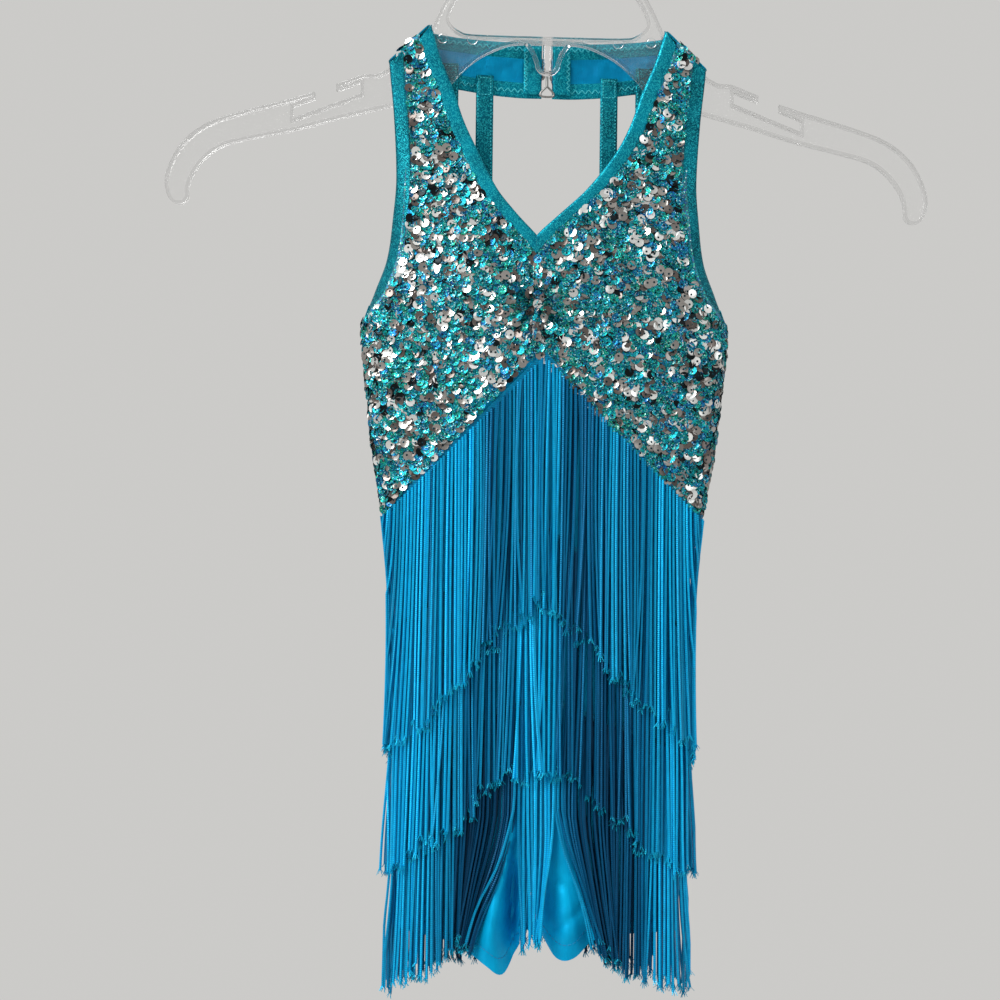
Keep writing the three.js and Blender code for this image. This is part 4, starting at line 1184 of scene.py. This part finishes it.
def hang_strands(name, models, tier, face, count, root_lift, spread, painted_layer_shade, seed):
    """One layer of a tier: strands side by side along the tier's line, each hung on its own path."""
    sizes = TIERS[tier]
    x = even_along(sizes["side"], face, count, 86 if painted_layer_shade == 1 else 88) + rng.uniform(-0.5, 0.5, count)
    root_z = tier_line(tier, face, x / half_width(sizes["side"])) - 3.2
    short = np.where(rng.uniform(size=count) < 0.12, rng.uniform(3, 9, count), 0)
    length = sizes["length"] - 2 + 3.2 * slow_noise(x, seed, 6) + rng.uniform(-3, 3, count) - short
    if face == "front":
        length += longer(tier, x)
    end_x = parted(x) if face == "front" and tier == "bottom" else x
    near_side = 1 - np.abs(x) / half_width(sizes["side"])
    stray = np.where(rng.uniform(size=count) < 0.07, 3.5, 1.0)
    sway = (3.6 * slow_noise(x, seed + 1, 7) + 1.7 * stray * rng.uniform(-1, 1, count)) * (0.25 + near_side)
    bow = 1.3 * slow_noise(x, seed + 2, 5) + stray * rng.uniform(-1, 1, count)
    group = curve(GROUP_LIFT_AND_PAINTED_SHADE, "x", tier)(x if face == "front" else -0.8 * x)
    off = rng.uniform(-0.35, 0.6, count) + 0.4 * slow_noise(x, seed + 3, 6)
    off = off + 2.0 * (np.clip(group, 0.4, 1.2) - 0.9)
    kind = rng.integers(0, len(models), count)
    spin = rng.uniform(0, 2 * math.pi, count)
    phase = rng.uniform(0, 1, count)

    def points_of(chosen, local):
        t = np.clip(-local[:, 2], 0, 1.03)[None]
        pick = chosen[:, None]
        flare = np.clip((t - 0.42) / 0.55, 0, 1.1) ** 1.25
        px = mix(x[pick], end_x[pick], flare) + sway[pick] * t**2
        px = px + bow[pick] * np.sin(math.pi * t) * near_side[pick]
        pz = root_z[pick] - length[pick] * t
        point, out, around = frame_at(px, pz, face)
        cos, sin = np.cos(spin[pick]), np.sin(spin[pick])
        a = local[None, :, 0] * cos - local[None, :, 1] * sin
        b = local[None, :, 0] * sin + local[None, :, 1] * cos
        lift = root_lift + (spread * length[pick] + off[pick] * 2) * t + b
        return hung(point + around * a[..., None] + out * lift[..., None])

    piece, owner = joined_copies(name, models, kind, points_of)
    local_z = np.concatenate([np.tile(coordinates(m)[:, 2], (kind == i).sum()) for i, m in enumerate(models)])
    # Each strand's colour: a random tone times painted shade, darker for the under layer and where its group
    # lies back, lighter where it stands forward; darker strands are also bluer.
    tint_and_painted_shade = np.minimum(painted_layer_shade * rng.uniform(0.62, 1.25, count) * group, 1.2)
    colour = np.array(rgb(0, 180, 236))[None, :].repeat(count, 0)
    colour[:, :3] *= tint_and_painted_shade[:, None]
    colour[:, 0] += 0.004 * tint_and_painted_shade
    colour[:, 1] *= np.clip(0.66 + 0.4 * tint_and_painted_shade, 0.7, 1)
    on_points = colour[owner]
    frayed = np.clip((-local_z - 1.0) / 0.008, 0, 1)[:, None]
    tuft_colour = np.array(rgb(20, 192, 228)[:3]) * np.clip(tint_and_painted_shade[owner], 0.9, 1.2)[:, None]
    on_points[:, :3] = mix(on_points[:, :3], tuft_colour, frayed)
    colour_points(piece, "shade", np.clip(on_points, 0, 1))
    store(piece, "along", -local_z * sizes["length"] * MM + phase[owner] * 0.001)
    return piece


def fringe_header(name, tier, face):
    """The sewn strip that the strands hang from."""

    def place(s, t):
        x = half_width(TIERS[tier]["side"]) * np.sin(mix(-1.0, 1.0, s) * math.radians(84))
        z = tier_line(tier, face, x / half_width(TIERS[tier]["side"])) - 0.5 - 3.8 * t
        point, out, _ = frame_at(x, z, face)
        return point + out * (1.5 + 0.12 * np.sin(s * 900))[:, None]

    strip = lay_cloth(name, 260, 3, place, (0, FACES[face], 0), 1.0, (200, 4))
    colour_points(strip, "shade", np.tile(rgb(0, 128, 172), (len(strip.data.vertices), 1)))
    store(strip, "along", coordinates(strip)[:, 2])
    return strip


# The fifth column is painted shade of the layer: the under layer's strands are coloured darker.
LAYERS = [  # name, share of the strands, distance off the cloth, spread, tone, seed
    ("yarn", 1.0, 2.1, 0.0375, 1.0, 0),
    ("under", 0.9, 0.9, 0.027, 0.62, 300),
]
STRANDS = strand_models()
fringe = {}
for number, tier in enumerate(TIERS):
    for face in FACES:
        node = f"fringe_{tier}_{face}"
        count, seed = TIERS[tier][face], 60 + number * 10 + (5 if face == "back" else 0)
        layers = [
            hang_strands(
                f"{node}_{name}", STRANDS, tier, face, int(count * part), lift, spread, painted_layer_shade, seed + more
            )
            for name, part, lift, spread, painted_layer_shade, more in LAYERS
        ]
        header = fringe_header(node + "_header", tier, face)
        fringe[node] = finish_piece(join(*layers, header), YARN, node)
discard(*STRANDS)


# ---- Sewing ------------------------------------------------------------------------------------
def stitch_model():
    """One stitch: a short thread that dips into the cloth at both ends."""
    deselect()
    bpy.ops.mesh.primitive_cylinder_add(vertices=5, radius=0.3, depth=1)
    model = bpy.context.object
    in_edit(model, lambda: bpy.ops.mesh.bevel(offset=0.12, segments=1, affect="EDGES"))
    return model


def sew(name, place, line, stitch, rest, outward, zigzag, carrier, material=THREAD):
    """Stitches along a line on a laid cloth; line gives shares across and down from 0 to 1."""
    dense = np.linspace(0, 1, 1500)
    s, t = line(dense)
    points = hung(place(s, t))
    length = np.concatenate([[0], np.cumsum(np.linalg.norm(np.diff(points, axis=0), axis=1))]) / MM
    starts = np.arange(rest, length[-1] - stitch, stitch + rest)
    share = lambda where: np.interp(where, length, dense)

    def on_line(where, off):
        s, t = line(share(where))
        point, normal = on_surface(place, s, t)
        normal *= np.sign((normal * outward).sum(-1, keepdims=True))
        ahead = hung(place(*line(share(where + 0.3)))) - hung(place(*line(share(where - 0.3))))
        aside = unit(np.cross(normal, unit(ahead)))
        return point + aside * off[:, None] * MM, normal

    swing = np.where(np.arange(len(starts)) % 2, 1, -1) * zigzag
    first, normal = on_line(starts, -swing)
    last, _ = on_line(starts + stitch, swing)
    axis = last - first
    long = np.linalg.norm(axis, axis=1)
    axis = unit(axis)
    aside = unit(np.cross(normal, axis))
    up = np.cross(axis, aside)
    middle = (first + last) / 2 + normal * 0.1 * MM
    model = stitch_model()

    def points_of(chosen, local):
        x = aside[chosen][:, None] * local[None, :, :1] * MM
        y = up[chosen][:, None] * local[None, :, 1:2] * MM
        z = axis[chosen][:, None] * local[None, :, 2:3] * long[chosen][:, None, None]
        return middle[chosen][:, None] + x + y + z

    piece, _ = joined_copies(name, [model], np.zeros(len(starts), int), points_of)
    discard(model)
    finish_piece(piece, material)
    with_cloth.setdefault(carrier, []).append(piece)


def along_row(s_share, lo, hi):
    return lambda t: (np.full_like(t, s_share), mix(lo, hi, t))


def along_hem(t_share):
    return lambda s: (mix(0.02, 0.98, s), np.full_like(s, t_share))


def face_of(centre, width, depth):
    """The side of a flat tube that looks inwards, where its stitches show."""

    def place(s, t):
        return centre(t) + np.stack([mix(-width / 2, width / 2, s), 0 * s - depth / 2, 0 * s], -1)

    return place


def box_line(low_t):
    """A stitched box at the top of a strap."""
    corners = np.linspace(0, 1, 5)
    return lambda u: (
        np.interp(u, corners, [0.16, 0.84, 0.84, 0.16, 0.16]),
        np.interp(u, corners, [0.01, 0.01, low_t, low_t, 0.01]),
    )


FORWARDS = (0, -1, 0)
BOX_LENGTH = 11
for side in SIDES:
    for name, (x, top_z, top_y) in STRAPS.items():
        strap = f"strap_{name}_{side}"
        strap_face = face_of(strap_centre(side, x, top_z, top_y), STRAP_WIDTH, STRAP_DEPTH)
        box = box_line(BOX_LENGTH / (top_z - STRAP_END_Z))
        sew(f"box_{strap}", strap_face, box, 1.1, 0.7, FORWARDS, 0, strap)
        for number, edge in enumerate((0.13, 0.87)):
            line = along_row(edge, 0.09, 0.99)
            sew(f"edge_{number}_{strap}", strap_face, line, 0.9, 1.1, FORWARDS, 0, strap)
    tab_face = face_of(tab_centre(side), TAB_WIDTH, TAB_DEPTH)
    line = along_row(0.14 if side == "left" else 0.86, 0.05, 0.95)
    sew("tab_zigzag_" + side, tab_face, line, 1.5, 0.1, FORWARDS, 0.9, "closure_tab_" + side)
    lining_face = collar_place(side, -1.85)
    for edge, share in (("top", 0.11), ("low", 0.88)):
        line = along_row(share, 0.52, 0.995)
        sew(f"collar_zigzag_{edge}_{side}", lining_face, line, 1.8, 0.1, FORWARDS, 1.1, "collar_" + side)
    for face in FACES:
        leg, line, outward = shorts_quarter(face, side), along_hem(HEM_STITCH), (0, FACES[face], 0)
        node = f"shorts_{face}_{side}"
        sew(f"hem_stitch_{face}_{side}", leg, line, 2.2, 0.8, outward, 0, node, BLUE_THREAD)


# ---- Hanger ------------------------------------------------------------------------------------
HANGER_LOWER = [
    (0, -135.5), (17, -135.6), (28, -138.5), (40, -145), (50, -154), (57, -161.5), (70, -168.5),
    (90, -173.5), (115, -180), (141, -187.5), (165, -193), (182, -197.5), (192, -204), (199, -212.5),
    (202.5, -221), (203, -228),
]
HANGER_TIP = [
    (205.5, -231.2), (211, -231), (214.5, -227), (216, -219.5), (213.8, -209.5), (206, -196), (192, -185.2),
    (172, -178), (145, -170.5),
]
HANGER_NOTCH = [
    (131.5, -166.2), (131.5, -170), (144, -174.9), (144, -181.5), (105.5, -166.5), (105.5, -159.9),
    (119.5, -165.3), (119.5, -161.5),
]
HANGER_HEAD = [
    (104.6, -155.8), (91.5, -152.8), (66, -128.9), (58, -112), (46, -93), (30, -78), (12, -69),
    (5, -62.5), (4, -58),
]
WINDOW = [
    (0, -131.6), (41, -131.4), (50, -129.6), (55.5, -125), (56, -120), (51, -110), (41, -97), (27, -84.5),
    (10, -76), (0, -74),
]
HANGER_DEPTH, HANGER_WEB, HANGER_RIB = 6.0, 1.8, 1.5


def flowing(points, parts=4):
    """More points along a run, so that it curves smoothly through those given."""
    run = np.array(points, float)
    padded = np.vstack([2 * run[0] - run[1], run, 2 * run[-1] - run[-2]])
    out = []
    for a, b, c, d in zip(padded, padded[1:], padded[2:], padded[3:]):
        for t in np.arange(parts) / parts:
            bent = 2 * b + (c - a) * t + (2 * a - 5 * b + 4 * c - d) * t**2
            out.append(0.5 * (bent + (3 * b - a - 3 * c + d) * t**3))
    return [*out, run[-1]]


def both_sides(right):
    return [*right, *[(-x, z) for x, z in reversed(right) if x > 0.01]]


def hanger_outline():
    head = [*flowing(HANGER_HEAD[:3], 3), *flowing(HANGER_HEAD[2:-1], 4)[1:], HANGER_HEAD[-1]]
    right = [*flowing(HANGER_LOWER)[:-1], *flowing([HANGER_LOWER[-1], *HANGER_TIP]), *HANGER_NOTCH, *head]
    return both_sides(right)


def as_mesh(data):
    """Turns a drawn curve into a mesh piece."""
    piece = bpy.data.objects.new(data.name, data)
    bpy.context.scene.collection.objects.link(piece)
    take(piece)
    bpy.ops.object.convert(target="MESH")
    return bpy.context.object


def weld(piece):
    """Merges the doubled points that a curve leaves, and turns its faces the same way."""
    in_edit(
        piece,
        lambda: bpy.ops.mesh.remove_doubles(threshold=0.01),
        lambda: bpy.ops.mesh.normals_make_consistent(),
    )
    return piece


def flat_shape(name, outlines, depth):
    """A plate of several outlines, holes among them, standing in the hanger's plane."""
    data = bpy.data.curves.new(name, "CURVE")
    data.dimensions, data.fill_mode, data.extrude = "2D", "BOTH", depth / 2
    for outline in outlines:
        spline = data.splines.new("POLY")
        spline.points.add(len(outline) - 1)
        spline.points.foreach_set("co", np.array([(x, z, 0, 1) for x, z in outline], float).ravel())
        spline.use_cyclic_u = True
    piece = as_mesh(data)
    x, z, y = coordinates(piece).T
    set_coordinates(piece, np.stack([x, -y, z], -1))
    return weld(piece)


def inner_outline(outline, distance):
    """An outline moved inwards by a distance, corner by corner."""
    points = np.array(outline, float)
    before, after = np.roll(points, 1, 0), np.roll(points, -1, 0)
    area = (points[:, 0] * after[:, 1] - after[:, 0] * points[:, 1]).sum()
    first, second = unit(points - before), unit(after - points)
    bisector = unit(np.stack([-first[:, 1] - second[:, 1], first[:, 0] + second[:, 0]], -1))
    lean_in = np.maximum(0.5, -bisector[:, 0] * first[:, 1] + bisector[:, 1] * first[:, 0])
    return points + bisector * (np.sign(area) * distance / lean_in)[:, None]


def unite(piece, *others):
    """Melts pieces into one moulding."""
    for other in others:
        take(piece)
        melt = piece.modifiers.new("melt", "BOOLEAN")
        melt.operation, melt.solver, melt.object = "UNION", "EXACT", other
        bpy.ops.object.modifier_apply(modifier=melt.name)
        discard(other)
    return piece


def round_bar(name, route, radius, flatten=1.0, ring=10):
    """A rounded bar along a route in the hanger's plane."""
    data = bpy.data.curves.new(name, "CURVE")
    data.dimensions, data.use_fill_caps = "3D", True
    data.bevel_depth, data.bevel_resolution = radius, ring // 4
    spline = data.splines.new("POLY")
    spline.points.add(len(route) - 1)
    spline.points.foreach_set("co", np.array([(x, 0, z, 1) for x, z in route], float).ravel())
    piece = as_mesh(data)
    set_coordinates(piece, coordinates(piece) * (1, flatten, 1))
    return weld(piece)


RINGS = [(-59.6, -133.4), (-42.7, -133.7), (39.9, -133.9), (58.5, -133)]  # on the web's front face


def hanger():
    outline, window = hanger_outline(), both_sides(flowing(WINDOW))
    web_edges = [inner_outline(outline, 0.5), inner_outline(window, -0.5)]
    plate = flat_shape("clear_hanger", web_edges, HANGER_WEB)
    rim = flat_shape("rim", [outline, inner_outline(outline, HANGER_RIB)], HANGER_DEPTH)
    window_rim = flat_shape("window_rim", [inner_outline(window, -HANGER_RIB), window], HANGER_DEPTH)
    turns = np.radians(np.arange(-50, 206, 6))
    hook = [(0, -64), (0.3, -58), (1.5, -52), (5, -47.5), (9, -44.5)]
    hook += [(23 * math.cos(a), -20 + 23 * math.sin(a)) for a in turns]
    foot = np.radians(np.arange(180, 361, 15))
    bowl = [(6 * math.cos(a), -146 + 6 * math.sin(a)) for a in foot]
    loop = [(-12.5, -134.5), (-8.6, -139.5), *bowl, (8.6, -139.5), (12.5, -134.5)]
    bars = [
        round_bar("hook_bar", flowing(hook[:5], 2)[:-1] + hook[4:], 3.0, ring=20),
        round_bar("loop_bar", flowing(loop, 3), 1.3, 1.9, ring=12),
        round_bar("stem_bar", [(0, -133), (0, -150)], 2.7, 0.33, ring=16),
    ]
    for x, z in RINGS:
        deselect()
        bpy.ops.mesh.primitive_torus_add(
            major_radius=2.6, minor_radius=0.35, major_segments=24, minor_segments=6
        )
        ring = bpy.context.object
        px, pz, py = coordinates(ring).T
        set_coordinates(ring, np.stack([px + x, -py - HANGER_WEB / 2, pz + z], -1))
        bars.append(ring)
    piece = unite(plate, rim, window_rim, *bars)
    take(piece)
    bevel = piece.modifiers.new("moulded_edges", "BEVEL")
    bevel.width, bevel.segments, bevel.limit_method, bevel.angle_limit = 0.3, 2, "ANGLE", math.radians(50)
    bpy.ops.object.modifier_apply(modifier=bevel.name)
    store(piece, "rib", np.clip((np.abs(coordinates(piece)[:, 1]) - HANGER_WEB / 2 - 0.2) / 1.5, 0, 1))
    set_coordinates(piece, hung(coordinates(piece), on_hanger=True))
    return piece


finish_piece(hanger(), PLASTIC, "hanger", smooth=40)


WIRE_LOOP = [
    (0, -157.6), (-3.2, -160.8), (-3.6, -163), (0, -163.6), (3.6, -163), (3.2, -160.8), (0, -157.6),
]
WIRE_STEM = [(0, -151), (0, -154.5), (0, -158)]
WIRE_STANDOFF = 1.2


def closure_wire():
    """The closure's wire: a stem that opens into a rounded triangular loop."""
    y = CLOSURE_Y - CLOTH - SEAM - TAB_DEPTH - WIRE_STANDOFF
    piece = join(
        round_bar("wire_loop", flowing(WIRE_LOOP, 4), 0.6, ring=8),
        round_bar("wire_stem", WIRE_STEM, 0.75, ring=8),
    )
    set_coordinates(piece, hung(coordinates(piece) + (0, y, 0)))
    piece.name = "hook_wire"
    return piece


finish_piece(closure_wire(), WIRE, "closure_hook", smooth=60)


# ---- Flat cuts ---------------------------------------------------------------------------------
CUTS = {  # width, length and flat area of each cut, in millimetres, one for both sides
    "front_bodice": (107, 265, 15100),
    "back_bodice": (211, 109, 14400),
    "neck_binding": (17, 141, None),
    "armhole_binding": (19, 154, None),
    "back_binding": (17.5, 209, None),
    "collar": (27.5, 90, None),
    "closure_tab": (21, 26, None),
    "strap_outer": (21.5, 144, None),
    "strap_inner": (21.5, 138, None),
    "shorts_front": (109, 351, 25600),
    "shorts_back": (105, 319, 24000),
}

for node, piece in cloth.items():
    width, length, area = next(CUTS[key] for key in CUTS if node.startswith(key))
    with_pieces = list(with_cloth.get(node, []))
    if node in ("shorts_front_left", "shorts_back_left"):
        with_pieces += [strands for name, strands in fringe.items() if name.endswith(node.split("_")[1])]
    area and area * MM * MM


# ---- Room, light and camera --------------------------------------------------------------------
def lamp(name, place, aim, size, power, colour=(1, 1, 1)):
    data = bpy.data.lights.new(name, "AREA")
    data.shape, data.size, data.size_y, data.energy, data.color = "RECTANGLE", size[0], size[1], power, colour
    light = bpy.data.objects.new(name, data)
    bpy.context.scene.collection.objects.link(light)
    light.location = place
    light.rotation_euler = (Vector(aim) - Vector(place)).to_track_quat("-Z", "Y").to_euler()


bpy.context.scene.view_settings.view_transform = "Standard"
world = bpy.data.worlds.new("pale_room")
world.use_nodes = True
world.node_tree.nodes["Background"].inputs["Color"].default_value = (0.6, 0.595, 0.58, 1)
world.node_tree.nodes["Background"].inputs["Strength"].default_value = 1.0
bpy.context.scene.world = world
middle = (-0.03, 0, -0.4)
lamp("window", (-1.3, -1.2, 0.9), middle, (1.2, 1.4), 44, (1, 0.99, 0.97))
lamp("room_fill", (1.7, -1.4, 0.0), middle, (1.4, 1.4), 5, (0.95, 0.98, 1))
lamp("behind", (-0.9, 1.7, 1.3), middle, (1.2, 1.2), 12)

deselect()
bpy.ops.mesh.primitive_circle_add(vertices=96, radius=2.4, fill_type="NGON", location=(0, 0, -1.7))
floor = bpy.context.object
floor.name = "pale_floor"
floor_finish = Finish("pale_floor", Roughness=0.8)
floor_finish.set("Base Color", floor_finish.levels(floor_finish.noise(3, 4), (0.3, 0.62), (0.7, 0.68)))
floor.data.materials.append(floor_finish.material)

FRAME_WIDTH, DISTANCE = 0.5625, 1.1
camera_data = bpy.data.cameras.new("camera")
camera_data.sensor_width = 36
camera_data.lens = 36 * DISTANCE / FRAME_WIDTH
camera = bpy.data.objects.new("camera", camera_data)
bpy.context.scene.collection.objects.link(camera)
camera.location = (-0.0287, -DISTANCE - 0.01, -0.39375)
camera.rotation_euler = (math.radians(90), 0, 0)
bpy.context.scene.camera = camera

bpy.context.view_layer.update()
